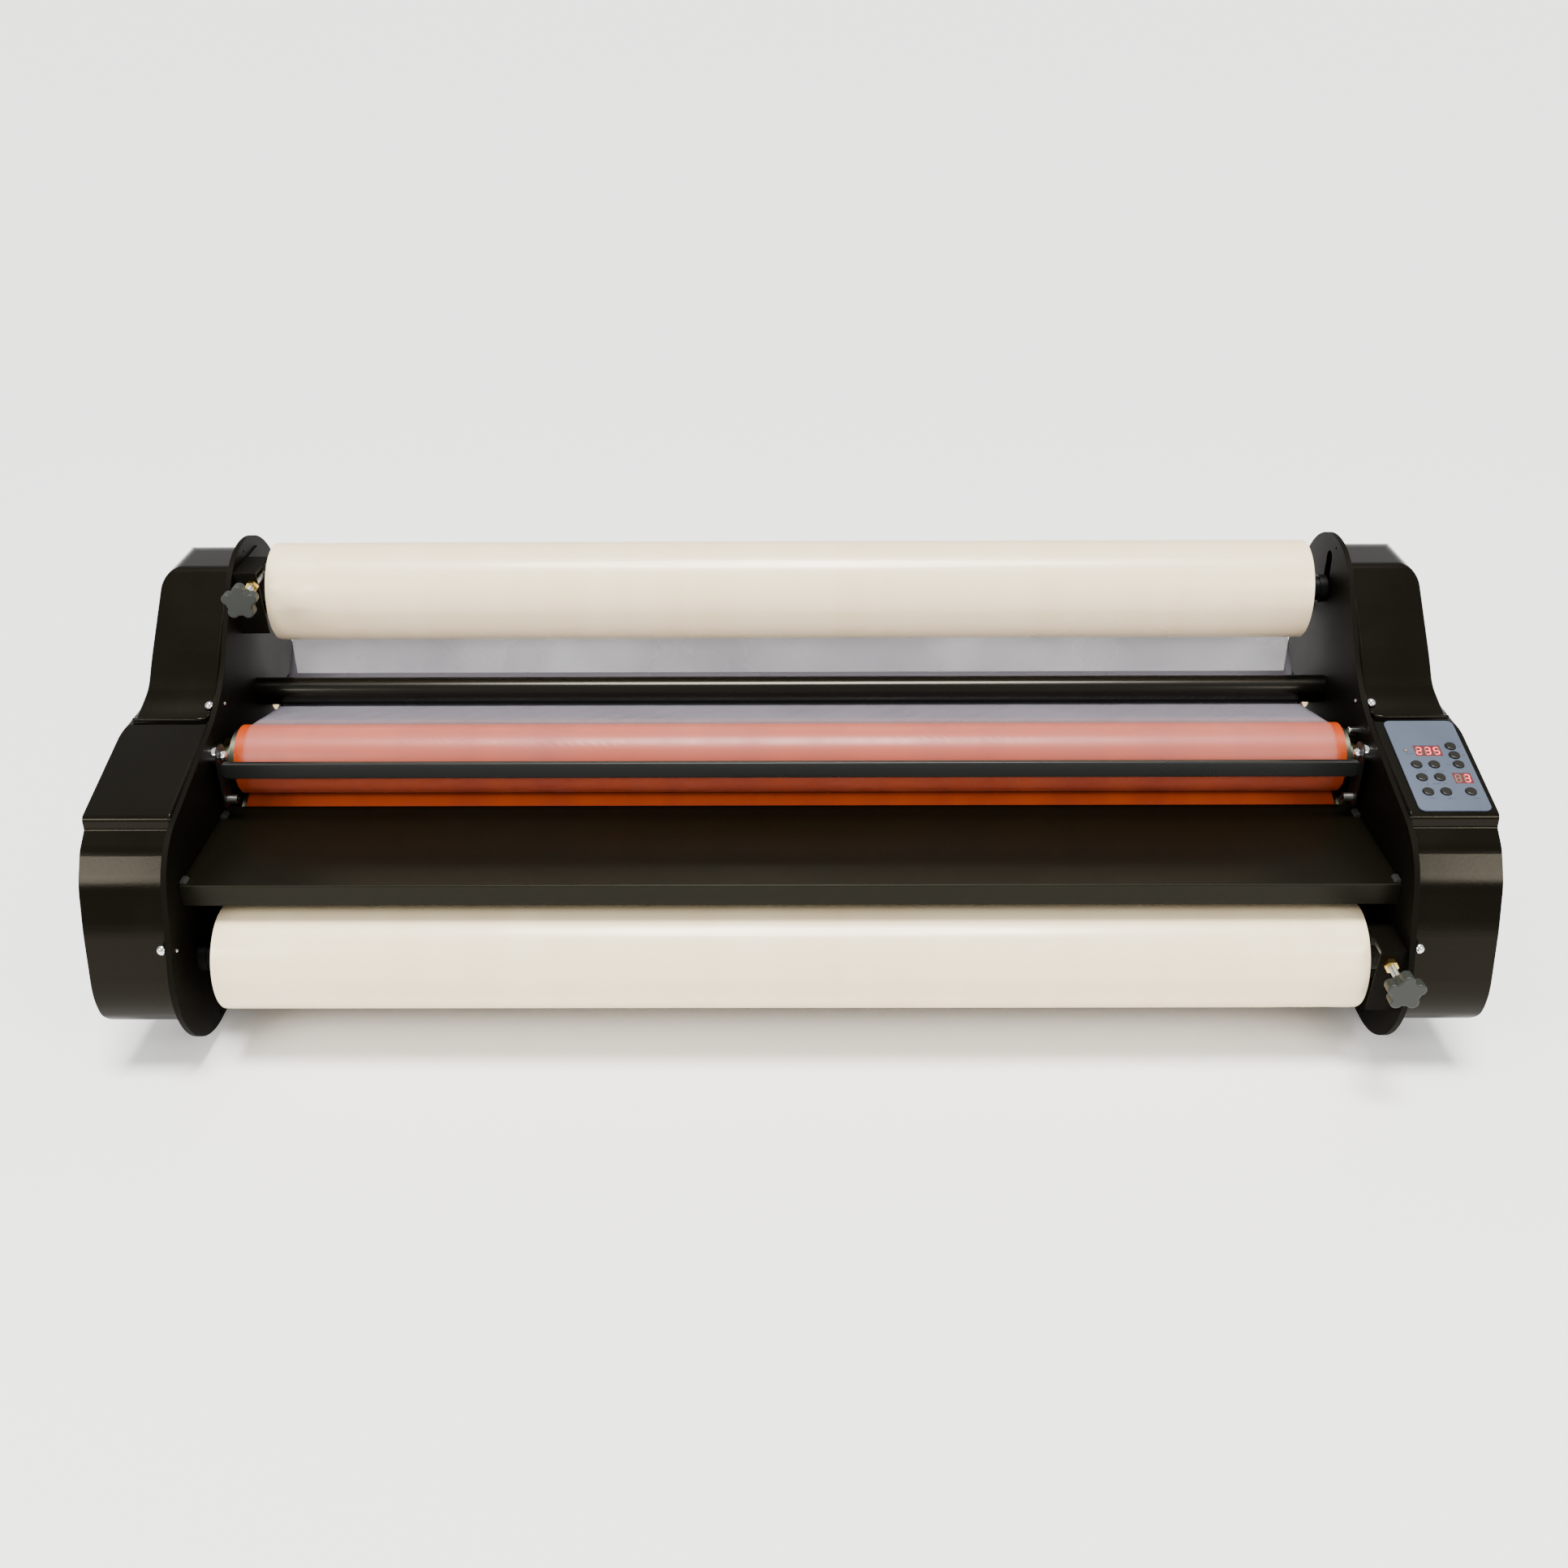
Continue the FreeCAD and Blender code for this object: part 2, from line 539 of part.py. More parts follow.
save("heater_rods", *[rod(place, HEATER_R, -566, 566) for place in (UPPER_HEAT, LOWER_HEAT)])
DOWN = -math.pi / 2
save("upper_roller_gear", gear(UPPER_HEAT, HEAT_TEETH, HEAT_MODULE, HEAT_JOURNAL_R, GEAR_X, DOWN))
lower_gear = gear(LOWER_HEAT, HEAT_TEETH, HEAT_MODULE, HEAT_JOURNAL_R, GEAR_X,
                  -DOWN + math.pi / HEAT_TEETH)
save("lower_roller_gear", lower_gear, sprocket(LOWER_HEAT, HEAT_SPROCKET, HEAT_JOURNAL_R))


# ---- pull rollers and drive -----------------------------------------------------------------------
def pull_roller(place):
    """Steel roller with slim journals."""
    body = rod(place, PULL_R, -SLEEVE_HALF, SLEEVE_HALF)
    return fuse(body, rod(place, 13.0, -532, 532), rod(place, PULL_JOURNAL_R, -556, 568))


save("upper_pull_roller", pull_roller(UPPER_PULL),
     gear(UPPER_PULL, PULL_TEETH, PULL_MODULE, PULL_JOURNAL_R, GEAR_X, DOWN))
save("lower_pull_roller", pull_roller(LOWER_PULL),
     gear(LOWER_PULL, PULL_TEETH, PULL_MODULE, PULL_JOURNAL_R, GEAR_X, -DOWN + math.pi / PULL_TEETH),
     sprocket(LOWER_PULL, PULL_SPROCKET, PULL_JOURNAL_R))

MOTOR_SHAFT_R = 6.0
gearbox = box(496, PLATE_IN, MOTOR[0] - 31, MOTOR[0] + 31, MOTOR[1] - 31, MOTOR[1] + 31)
can = rod(MOTOR, 27.0, 406, 496)
motor = fuse(gearbox, can, rod(MOTOR, 9.0, 402, 406)).cut(rod(MOTOR, MOTOR_SHAFT_R + RUN_CLEAR, 515, 545))
save("drive_motor", motor)
save("motor_sprocket", fuse(rod(MOTOR, MOTOR_SHAFT_R, 516, 567), sprocket(MOTOR, MOTOR_SPROCKET, 5.0)))


def chain_wheel(place, teeth):
    """Pitch circle of a sprocket, with the chain running anticlockwise round it."""
    return (place[0], place[1], CHAIN_PITCH / (2 * math.sin(math.pi / teeth)), 1)


wheels = [chain_wheel(LOWER_HEAT, HEAT_SPROCKET), chain_wheel(MOTOR, MOTOR_SPROCKET),
          chain_wheel(LOWER_PULL, PULL_SPROCKET)]
chain_x = SPROCKET_X[0] + 0.5
chain_outer = Part.Face(loop(wheels, -CHAIN_HALF_H, chain_x))
chain_inner = Part.Face(loop(wheels, CHAIN_HALF_H, chain_x))
save("drive_chain", chain_outer.cut(chain_inner).extrude(V(5, 0, 0)))

# ---- supply rolls ---------------------------------------------------------------------------------
DRUM_R = 22.0
DRUM_X = (519.5, 534.0)
CHUCK_R = 20.0
CHUCK_X = (FILM_HALF + 0.5, FILM_HALF + 3.0)


def supply_shaft(place, brake_side):
    """Shaft with a chuck flange at both ends of the core and a brake drum at one end."""
    shaft = fuse(rod(place, CORE_BORE, -FILM_HALF, FILM_HALF),
                 rod(place, SHAFT_END_R, -556, 556),
                 rod(place, CHUCK_R, *CHUCK_X),
                 rod(place, CORE_BORE, FILM_HALF, CHUCK_X[0]),
                 rod(place, 14.0, 532, PLATE_IN - GAP),
                 rod(place, 12.0, CHUCK_X[1], 532),
                 rod(place, CHUCK_R, -CHUCK_X[1], -CHUCK_X[0]),
                 rod(place, CORE_BORE, -CHUCK_X[0], -FILM_HALF),
                 rod(place, DRUM_R, -DRUM_X[1], -DRUM_X[0]),
                 rod(place, 10.0, -DRUM_X[0], -CHUCK_X[1]))
    return shaft if brake_side < 0 else mirrored(shaft)


FLANGE_X = (-513.5, -517.5)     # inner edge of the bracket's front flange, bottom and top
FLANGE_Z = (-22.0, 41.0)        # bottom and top of the bracket, from the shaft axis


def brake_bracket(place, side):
    """Bent sheet bracket that carries the tension screw, drawn on the left."""
    y, z = place
    wall = box(-PLATE_IN, -PLATE_IN + 2, y + BRAKE_FLANGE, y + 22, z + FLANGE_Z[0], z + FLANGE_Z[1])
    wall = wall.cut(rod(place, 15.0, -545, -530))
    low, high = z + FLANGE_Z[0], z + FLANGE_Z[1]
    face = Part.Face(Part.makePolygon([V(-PLATE_IN, y + BRAKE_FLANGE, low), V(FLANGE_X[0], y + BRAKE_FLANGE, low),
                                       V(FLANGE_X[1], y + BRAKE_FLANGE, high),
                                       V(-PLATE_IN, y + BRAKE_FLANGE, high),
                                       V(-PLATE_IN, y + BRAKE_FLANGE, low)]))
    flange = face.extrude(V(0, 2, 0))
    roof = box(-PLATE_IN, FLANGE_X[1], y + BRAKE_FLANGE, y - 10, high - 2, high)
    bracket = fuse(wall, flange, roof)
    screw_x = UPPER_SCREW_X if side < 0 else -LOWER_SCREW_X
    hole = Part.makeCylinder(5.0, 10, V(screw_x, y + BRAKE_FLANGE - 4, z + BRAKE_RISE), V(0, 1, 0))
    bracket = bracket.cut(hole)
    return bracket if side < 0 else mirrored(bracket)


def brake_band(place, side):
    """Felt-lined strap round the drum, with the block that the tension screw draws on."""
    y, z = place
    r_in = DRUM_R + GAP
    x0, x1 = -DRUM_X[1] + 1.5, -DRUM_X[0] - 1.5
    strap = ring(place, r_in, r_in + 2, x0, x1)
    open_front = box(x0 - 1, x1 + 1, y - 40, y, z - 40, z)
    strap = strap.cut(open_front)
    block = box(x0, x1, y - 22, y - 8, z + r_in + 1.6, z + BRAKE_RISE + 5)
    link = box(x0, x1, y - 14, y + 1, z + r_in + 0.3, z + r_in + 2)
    strap = fuse(strap, link, block).cut(rod(place, r_in, x0 - 1, x1 + 1))
    return strap if side < 0 else mirrored(strap)


def along_y(x, z, radius, y0, y1):
    """Cylinder along Y."""
    return Part.makeCylinder(radius, y1 - y0, V(x, y0, z), V(0, 1, 0))


def star_knob(x, place):
    """Five-lobed knob on the tension screw."""
    y, z = place[0] + KNOB_REACH, place[1] + BRAKE_RISE
    y0, y1 = y - KNOB_T / 2, y + KNOB_T / 2
    lobe_r = 5.6
    body = along_y(x, z, KNOB_R - 4.6, y0, y1)
    for lobe in range(5):
        angle = math.radians(90 + 72 * lobe)
        reach = KNOB_R - lobe_r
        body = body.fuse(along_y(x + reach * math.cos(angle), z + reach * math.sin(angle), lobe_r, y0, y1))
    body = body.removeSplitter()
    rims = [e for e in body.Edges if abs(e.BoundBox.YMax - e.BoundBox.YMin) < 0.01]
    body = body.makeFillet(1.6, rims)
    body = fuse(body, along_y(x, z, 7.5, y1 - 0.5, y1 + 7))
    return body.cut(along_y(x, z, 3.0, y0 + 6, y1 + 8))


def tension_rod(x, place):
    """Threaded rod from the star knob to the brake strap's block."""
    y, z = place[0], place[1] + BRAKE_RISE
    return along_y(x, z, 3.0, y + KNOB_REACH, y - 22.5)


def brass_nut(x, place):
    """Hexagon nut and collar on the front of the bracket."""
    y, z = place[0] + BRAKE_FLANGE, place[1] + BRAKE_RISE
    corners = [V(x + 6.2 * math.cos(math.radians(60 * i)), y - 6, z + 6.2 * math.sin(math.radians(60 * i)))
               for i in range(7)]
    nut = Part.Face(Part.makePolygon(corners)).extrude(V(0, 6, 0))
    nut = fuse(nut, along_y(x, z, 5.0, y, y + 2))
    return nut.cut(along_y(x, z, 3.0 + RUN_CLEAR, y - 8, y + 4))


SUPPLIES = (("upper", UPPER_ROLL, -1, UPPER_SCREW_X), ("lower", LOWER_ROLL, 1, LOWER_SCREW_X))
for name, place, side, screw_x in SUPPLIES:
    save(name + "_supply_shaft", supply_shaft(place, side))
    save(name + "_core_tube", ring(place, CORE_BORE, CORE_R, -FILM_HALF, FILM_HALF))
    save(name + "_film_roll", ring(place, CORE_R, ROLL_R, -FILM_HALF, FILM_HALF))
    save(name + "_tension_knob", star_knob(screw_x, place))
    save(name + "_tension_rod", tension_rod(screw_x, place))
save("brake_brackets", *[brake_bracket(place, side) for _, place, side, _ in SUPPLIES])
save("brake_bands", *[brake_band(place, side) for _, place, side, _ in SUPPLIES])
save("brass_nuts", *[brass_nut(screw_x, place) for _, place, _, screw_x in SUPPLIES])


# ---- film webs and idlers -------------------------------------------------------------------------
def idler(place):
    """Idler tube that turns on a spindle fixed between the plates."""
    return ring(place, SPINDLE_R + RUN_CLEAR, IDLER_R, -PLATE_IN + 0.5, PLATE_IN - 0.5)


save("upper_idler_bar", idler(UPPER_IDLER))
save("lower_idler_bar", idler(LOWER_IDLER))

WEB_STAND = GAP + FILM_T / 2     # centre line of the film off a roller's face


def web_wheel(place, radius, turn):
    """Circle that the film's centre line follows round a roller."""
    return (place[0], place[1], radius + WEB_STAND, turn)


upper_wheels = [web_wheel(UPPER_ROLL, ROLL_R, -1), web_wheel(UPPER_IDLER, IDLER_R, -1),
                web_wheel(UPPER_HEAT, HEAT_R, 1)]
runs = [tangent_angle(upper_wheels[0], upper_wheels[1]), tangent_angle(upper_wheels[1], upper_wheels[2])]
save("upper_film_web", band(upper_wheels, [runs[0]] + runs + [2 * math.pi], FILM_T, -FILM_HALF, FILM_HALF))
lower_wheels = [web_wheel(LOWER_ROLL, ROLL_R, 1), web_wheel(LOWER_IDLER, IDLER_R, 1),
                (LOWER_HEAT[0], LOWER_HEAT[1], PULL_NIP_Z - LOWER_HEAT[1], -1)]
runs = [tangent_angle(lower_wheels[0], lower_wheels[1]), tangent_angle(lower_wheels[1], lower_wheels[2])]
save("lower_film_web", band(lower_wheels, [runs[0]] + runs + [0.0], FILM_T, -FILM_HALF, FILM_HALF,
                            tail=PLATE_REAR - 2 - HEAT_Y))

# ---- control panel --------------------------------------------------------------------------------
OVERLAY_X = (554.5, 618.5)
overlay = box(OVERLAY_X[0], OVERLAY_X[1], slope(25.2), slope(143.3), 0, OVERLAY_T)
overlay = overlay.makeFillet(6, [e for e in overlay.Edges if abs(e.BoundBox.ZLength - OVERLAY_T) < 0.01])
for x, y in BUTTONS:
    overlay = overlay.cut(Part.makeCylinder(BUTTON_HOLE_R, 5, V(x, slope(y), -2)))
for x0, x1, y0, y1 in DISPLAYS:
    overlay = overlay.cut(box(x0, x1, slope(y0), slope(y1), -2, 3))
save("panel_overlay", on_pod(overlay))

windows = [box(x0, x1, slope(y0), slope(y1), -5, OVERLAY_T - 0.2) for x0, x1, y0, y1 in DISPLAYS]
save("display_windows", *[on_pod(window) for window in windows])

BOARD_LOW = -9.0
BOARD_TOP = -7.4
board = box(557, 615, slope(36), slope(124), BOARD_LOW, BOARD_TOP)
for x in (559.5, 615 - 1.5):
    for y in (39.0, 120.5):
        board = board.fuse(box(x - 1.5, x + 1.5, slope(y) - 1.5, slope(y) + 1.5, BOARD_TOP, -COVER_WALL))
save("control_board", on_pod(board.removeSplitter()))

BUTTON_RISE = 1.6
BUTTON_LOW = -4.0
for number, (x, y) in enumerate(BUTTONS, start=1):
    key = Part.makeCylinder(BUTTON_R, OVERLAY_T + BUTTON_RISE - BUTTON_LOW, V(x, slope(y), BUTTON_LOW))
    top = [e for e in key.Edges if abs(e.BoundBox.ZMin - OVERLAY_T - BUTTON_RISE) < 0.01]
    save("button_%02d" % number, on_pod(key.makeFillet(1.1, top)))

# ---- mains connection -----------------------------------------------------------------------------
left, right_edge, low, high = INLET
face_y = COVER_REAR + PANEL_T
inlet = fuse(box(left, right_edge, COVER_REAR - 24, face_y, low, high),
             box(left - 11, right_edge + 11, face_y, face_y + 2.5, low - 3, high + 3))
socket = box(left + 3, right_edge - 3, face_y - 15, face_y + 4, low + 3, high - 3)
blades = [box(x - 1, x + 1, face_y - 16, face_y - 1, -93, -87) for x in (437, 444, 451)]
bezel = box(SWITCH[0] - 3, SWITCH[1] + 3, face_y, face_y + 2, SWITCH[2] - 3, SWITCH[3] + 3)
bezel = bezel.cut(box(SWITCH[0], SWITCH[1], face_y - 1, face_y + 3, SWITCH[2], SWITCH[3]))
save("power_inlet", fuse(inlet.cut(socket), *blades), bezel)

SWITCH_PIVOT = (face_y - 3, (SWITCH[2] + SWITCH[3]) / 2)
ROCKER_END = 2.0
rocker = profile([(face_y - 6, SWITCH[2] + ROCKER_END, 1), (face_y + 3.5, SWITCH[2] + ROCKER_END, 1.2),
                  (face_y + 0.8, SWITCH_PIVOT[1], 6), (face_y + 1.2, SWITCH[3] - ROCKER_END, 0.8),
                  (face_y - 6, SWITCH[3] - ROCKER_END, 1)], SWITCH[0] + 0.6, SWITCH[1] - 0.6)
stubs = rod(SWITCH_PIVOT, 0.8, SWITCH[0] + 0.1, SWITCH[1] - 0.1)
save("power_switch", fuse(rocker, stubs))
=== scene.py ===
"""Looks of a table-top heated roll laminator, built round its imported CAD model.

The CAD model is the frame. Each class below dresses one sub-assembly: it gives the CAD pieces their finishes
and makes the pieces that CAD only blocks in, such as the film webs, the wound rolls and the lit digits.
Lengths are metres.
"""
import json
import logging
import math
from dataclasses import dataclass
from enum import Enum

import bmesh
import bpy
from mathutils import Matrix, Vector, noise
from mathutils.bvhtree import BVHTree


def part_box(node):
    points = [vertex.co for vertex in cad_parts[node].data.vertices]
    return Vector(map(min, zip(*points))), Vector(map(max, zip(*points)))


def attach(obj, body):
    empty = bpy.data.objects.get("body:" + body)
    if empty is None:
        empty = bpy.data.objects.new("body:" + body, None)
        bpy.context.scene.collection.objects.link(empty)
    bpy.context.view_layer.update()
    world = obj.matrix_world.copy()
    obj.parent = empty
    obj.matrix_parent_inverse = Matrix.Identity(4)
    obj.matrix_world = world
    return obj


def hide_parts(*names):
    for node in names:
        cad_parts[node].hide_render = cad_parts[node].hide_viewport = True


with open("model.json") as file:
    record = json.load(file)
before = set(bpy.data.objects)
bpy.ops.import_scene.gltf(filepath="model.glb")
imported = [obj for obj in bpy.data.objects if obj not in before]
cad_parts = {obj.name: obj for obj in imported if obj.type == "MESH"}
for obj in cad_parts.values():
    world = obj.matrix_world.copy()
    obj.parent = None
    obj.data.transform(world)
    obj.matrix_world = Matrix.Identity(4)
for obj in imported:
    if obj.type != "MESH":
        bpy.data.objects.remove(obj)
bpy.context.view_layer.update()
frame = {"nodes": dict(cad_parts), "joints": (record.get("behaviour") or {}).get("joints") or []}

log = logging.getLogger("laminator")
MM = 0.001
Colour = tuple[float, float, float]
Place = tuple[float, float]


# ---- shader expressions ------------------------------------------------------
class Value:
    """One number or vector output of a shader node, with arithmetic that adds Math nodes."""

    def __init__(self, shader: "Shader", socket: bpy.types.NodeSocket) -> None:
        """Wrap a socket.

        Args:
            shader: The material that the socket's node belongs to.
            socket: The output socket.
        """
        self.shader = shader
        self.socket = socket

    def math(self, operation: str, *others: "Value | float") -> "Value":
        """Add a Math node.

        Args:
            operation: The node's operation.
            others: Its further values.

        Returns:
            The node's result.
        """
        return self.shader.node("ShaderNodeMath", {"operation": operation}, dict(enumerate((self, *others))))

    def __add__(self, other: "Value | float") -> "Value":
        """Sum."""
        return self.math("ADD", other)

    def __radd__(self, other: float) -> "Value":
        """Sum, from the right."""
        return self.math("ADD", other)

    def __sub__(self, other: "Value | float") -> "Value":
        """Difference."""
        return self.math("SUBTRACT", other)

    def __rsub__(self, other: float) -> "Value":
        """Difference, from the right."""
        return self.shader.node("ShaderNodeMath", {"operation": "SUBTRACT"}, {0: other, 1: self})

    def __mul__(self, other: "Value | float") -> "Value":
        """Product."""
        return self.math("MULTIPLY", other)

    def __rmul__(self, other: float) -> "Value":
        """Product, from the right."""
        return self.math("MULTIPLY", other)

    def __pow__(self, other: float) -> "Value":
        """Power."""
        return self.math("POWER", other)

    def above(self, edge: float) -> "Value":
        """1 where the value is above the edge."""
        return self.math("GREATER_THAN", edge)

    def below(self, edge: float) -> "Value":
        """1 where the value is below the edge."""
        return self.math("LESS_THAN", edge)


class Shader:
    """One material and the short ways to add nodes to it."""

    def __init__(self, name: str) -> None:
        """Start an empty material.

        Args:
            name: The material's name.
        """
        self.material = bpy.data.materials.new(name)
        self.material.use_nodes = True
        self.tree = self.material.node_tree
        self.tree.nodes.clear()

    def node(self, kind: str, settings: dict | None = None, inputs: dict | None = None,
             out: int | str = 0) -> Value:
        """Add a node.

        Args:
            kind: The node's type.
            settings: Attributes to set first.
            inputs: Values or links of its sockets, by name or number.
            out: The output that is returned.

        Returns:
            That output.
        """
        made = self.tree.nodes.new(kind)
        for key, value in (settings or {}).items():
            setattr(made, key, value)
        for key, value in (inputs or {}).items():
            self.feed(made.inputs[key], value)
        return Value(self, made.outputs[out]) if made.outputs else Value(self, None)

    def feed(self, socket: bpy.types.NodeSocket, value: object) -> None:
        """Link a Value to a socket, or set the socket's own value."""
        if isinstance(value, Value):
            self.tree.links.new(value.socket, socket)
        elif isinstance(value, tuple) and len(value) == 3 and socket.type == "RGBA":
            socket.default_value = (*value, 1.0)
        else:
            socket.default_value = value

    def place(self, stretch: Colour = (1.0, 1.0, 1.0)) -> Value:
        """Object coordinates in metres, each axis multiplied by stretch."""
        where = self.node("ShaderNodeTexCoord", out="Object")
        return self.node("ShaderNodeVectorMath", {"operation": "MULTIPLY"}, {0: where, 1: stretch})

    def axes(self) -> tuple[Value, Value, Value]:
        """The three object coordinates as numbers."""
        where = self.node("ShaderNodeTexCoord", out="Object")
        split = self.node("ShaderNodeSeparateXYZ", None, {0: where})
        outputs = split.socket.node.outputs
        return Value(self, outputs[0]), Value(self, outputs[1]), Value(self, outputs[2])

    def grain(self, per_metre: float, detail: float = 3.0, stretch: Colour = (1.0, 1.0, 1.0)) -> Value:
        """Noise between 0 and 1.

        Args:
            per_metre: How many blobs fit in a metre.
            detail: Octaves.
            stretch: Multiplier of each axis, under 1 to draw the blobs out.

        Returns:
            The noise.
        """
        inputs = {"Vector": self.place(stretch), "Scale": per_metre, "Detail": detail}
        return self.node("ShaderNodeTexNoise", None, inputs)

    def blend(self, factor: Value | float, first: Colour | Value, second: Colour | Value) -> Value:
        """Mix of two colours."""
        inputs = {0: factor, 6: first, 7: second}
        return self.node("ShaderNodeMix", {"data_type": "RGBA"}, inputs, out=2)

    def between(self, value: Value, low: float, high: float, to_low: float, to_high: float) -> Value:
        """Value from low..high mapped to to_low..to_high and held there."""
        inputs = {0: value, 1: low, 2: high, 3: to_low, 4: to_high}
        return self.node("ShaderNodeMapRange", None, inputs)

    def bump(self, height: Value, depth: float, strength: float = 1.0) -> Value:
        """Normal from a height.

        Args:
            height: Height between 0 and 1.
            depth: Its depth in metres.
            strength: Share of the effect.

        Returns:
            The normal.
        """
        inputs = {"Height": height, "Distance": depth, "Strength": strength}
        return self.node("ShaderNodeBump", None, inputs)

    def finish(self, inputs: dict) -> bpy.types.Material:
        """Close the tree with a Principled shader.

        Args:
            inputs: Values or links of the shader's sockets.

        Returns:
            The material.
        """
        surface = self.node("ShaderNodeBsdfPrincipled", None, inputs)
        self.node("ShaderNodeOutputMaterial", None, {0: surface})
        return self.material


# ---- finishes ----------------------------------------------------------------
@dataclass(frozen=True)
class Moulding:
    """Moulded or vacuum-formed plastic, with a fine orange peel and faint handling marks."""

    name: str
    tint: Colour
    roughness: float
    peel: float = 0.00004
    peel_per_metre: float = 420.0
    gloss_tint: Colour = (1.0, 1.0, 1.0)
    gloss: float = 0.5

    def build(self) -> bpy.types.Material:
        """The material."""
        s = Shader(self.name)
        broad = s.grain(9.0, 4.0)
        peel = s.grain(self.peel_per_metre, 2.0) * 0.7 + s.grain(self.peel_per_metre * 4, 1.0) * 0.3
        paler = tuple(c * 1.35 + 0.0004 for c in self.tint)
        rough = s.between(broad, 0.35, 0.7, self.roughness * 0.85, self.roughness * 1.25)
        return s.finish({"Base Color": s.blend(s.between(broad, 0.3, 0.75, 0.0, 1.0), self.tint, paler),
                         "Roughness": rough, "Normal": s.bump(peel, self.peel),
                         "Specular Tint": (*self.gloss_tint, 1.0), "Specular IOR Level": self.gloss})


@dataclass(frozen=True)
class Paint:
    """Stoved powder coat on sheet or tube: a fine stipple, a little wear, soft smudges."""

    name: str
    tint: Colour
    roughness: float
    stipple: float = 0.00003
    smudge: float = 0.12
    gloss_tint: Colour = (1.0, 1.0, 1.0)
    gloss: float = 0.2

    def build(self) -> bpy.types.Material:
        """The material."""
        s = Shader(self.name)
        stipple = s.grain(1500.0, 2.0)
        smudge = s.grain(7.0, 5.0, (0.5, 1.0, 1.0))
        paler = tuple(c * 1.6 + 0.0005 for c in self.tint)
        half = self.smudge / 2
        rough = s.between(smudge, 0.3, 0.72, self.roughness - half, self.roughness + half)
        return s.finish({"Base Color": s.blend(s.between(stipple, 0.4, 0.8, 0.0, 1.0), self.tint, paler),
                         "Roughness": rough, "Normal": s.bump(stipple, self.stipple),
                         "Specular Tint": (*self.gloss_tint, 1.0), "Specular IOR Level": self.gloss})


@dataclass(frozen=True)
class Metal:
    """Bare or plated metal, with turning or rolling marks drawn out along one axis."""

    name: str
    tint: Colour
    roughness: float
    marks: Colour = (1.0, 0.05, 0.05)
    mark_depth: float = 0.00001

    def build(self) -> bpy.types.Material:
        """The material."""
        s = Shader(self.name)
        marks = s.grain(2600.0, 2.0, self.marks)
        haze = s.grain(60.0, 3.0)
        darker = tuple(c * 0.72 for c in self.tint)
        rough = s.between(haze, 0.3, 0.75, self.roughness * 0.8, self.roughness * 1.4)
        return s.finish({"Base Color": s.blend(s.between(haze, 0.35, 0.8, 0.0, 1.0), self.tint, darker),
                         "Metallic": 1.0, "Roughness": rough, "Normal": s.bump(marks, self.mark_depth)})


@dataclass(frozen=True)
class Silicone:
    """Smooth satin silicone rubber with a ground surface and faint darker bands along the roller."""

    name: str = "orange_silicone"
    tint: Colour = (0.36, 0.042, 0.0015)
    shade: Colour = (0.27, 0.026, 0.001)
    roughness: float = 0.36

    def build(self) -> bpy.types.Material:
        """The material."""
        s = Shader(self.name)
        bands = s.grain(24.0, 4.0, (1.0, 0.25, 0.25))
        ground = s.grain(1800.0, 2.0, (1.0, 0.12, 0.12))
        rough = s.between(bands, 0.3, 0.7, self.roughness * 0.8, self.roughness * 1.3)
        return s.finish({"Base Color": s.blend(s.between(bands, 0.3, 0.75, 0.0, 1.0), self.tint, self.shade),
                         "Roughness": rough, "Normal": s.bump(ground, 0.00001), "Specular IOR Level": 0.25})


@dataclass(frozen=True)
class WoundFilm:
    """Hundreds of turns of clear film on a core: milky, glossy, with faint hoops of uneven winding."""

    name: str = "wound_film"
    tint: Colour = (0.93, 0.77, 0.50)
    shade: Colour = (0.76, 0.57, 0.33)
    roughness: float = 0.30

    def build(self) -> bpy.types.Material:
        """The material."""
        s = Shader(self.name)
        hoops = s.grain(34.0, 5.0, (1.0, 0.06, 0.06))
        cloud = s.grain(11.0, 4.0, (0.4, 1.0, 1.0))
        fine = s.grain(520.0, 2.0, (1.0, 0.1, 0.1))
        mask = s.between(hoops * 0.6 + cloud * 0.4, 0.42, 0.72, 0.0, 1.0)
        rough = s.between(cloud, 0.3, 0.7, self.roughness * 0.75, self.roughness * 1.3)
        return s.finish({"Base Color": s.blend(mask * 0.35, self.tint, self.shade), "Roughness": rough,
                         "Normal": s.bump(fine * 0.3 + cloud * 0.7, 0.00025), "Coat Weight": 0.3,
                         "Coat Roughness": 0.12})


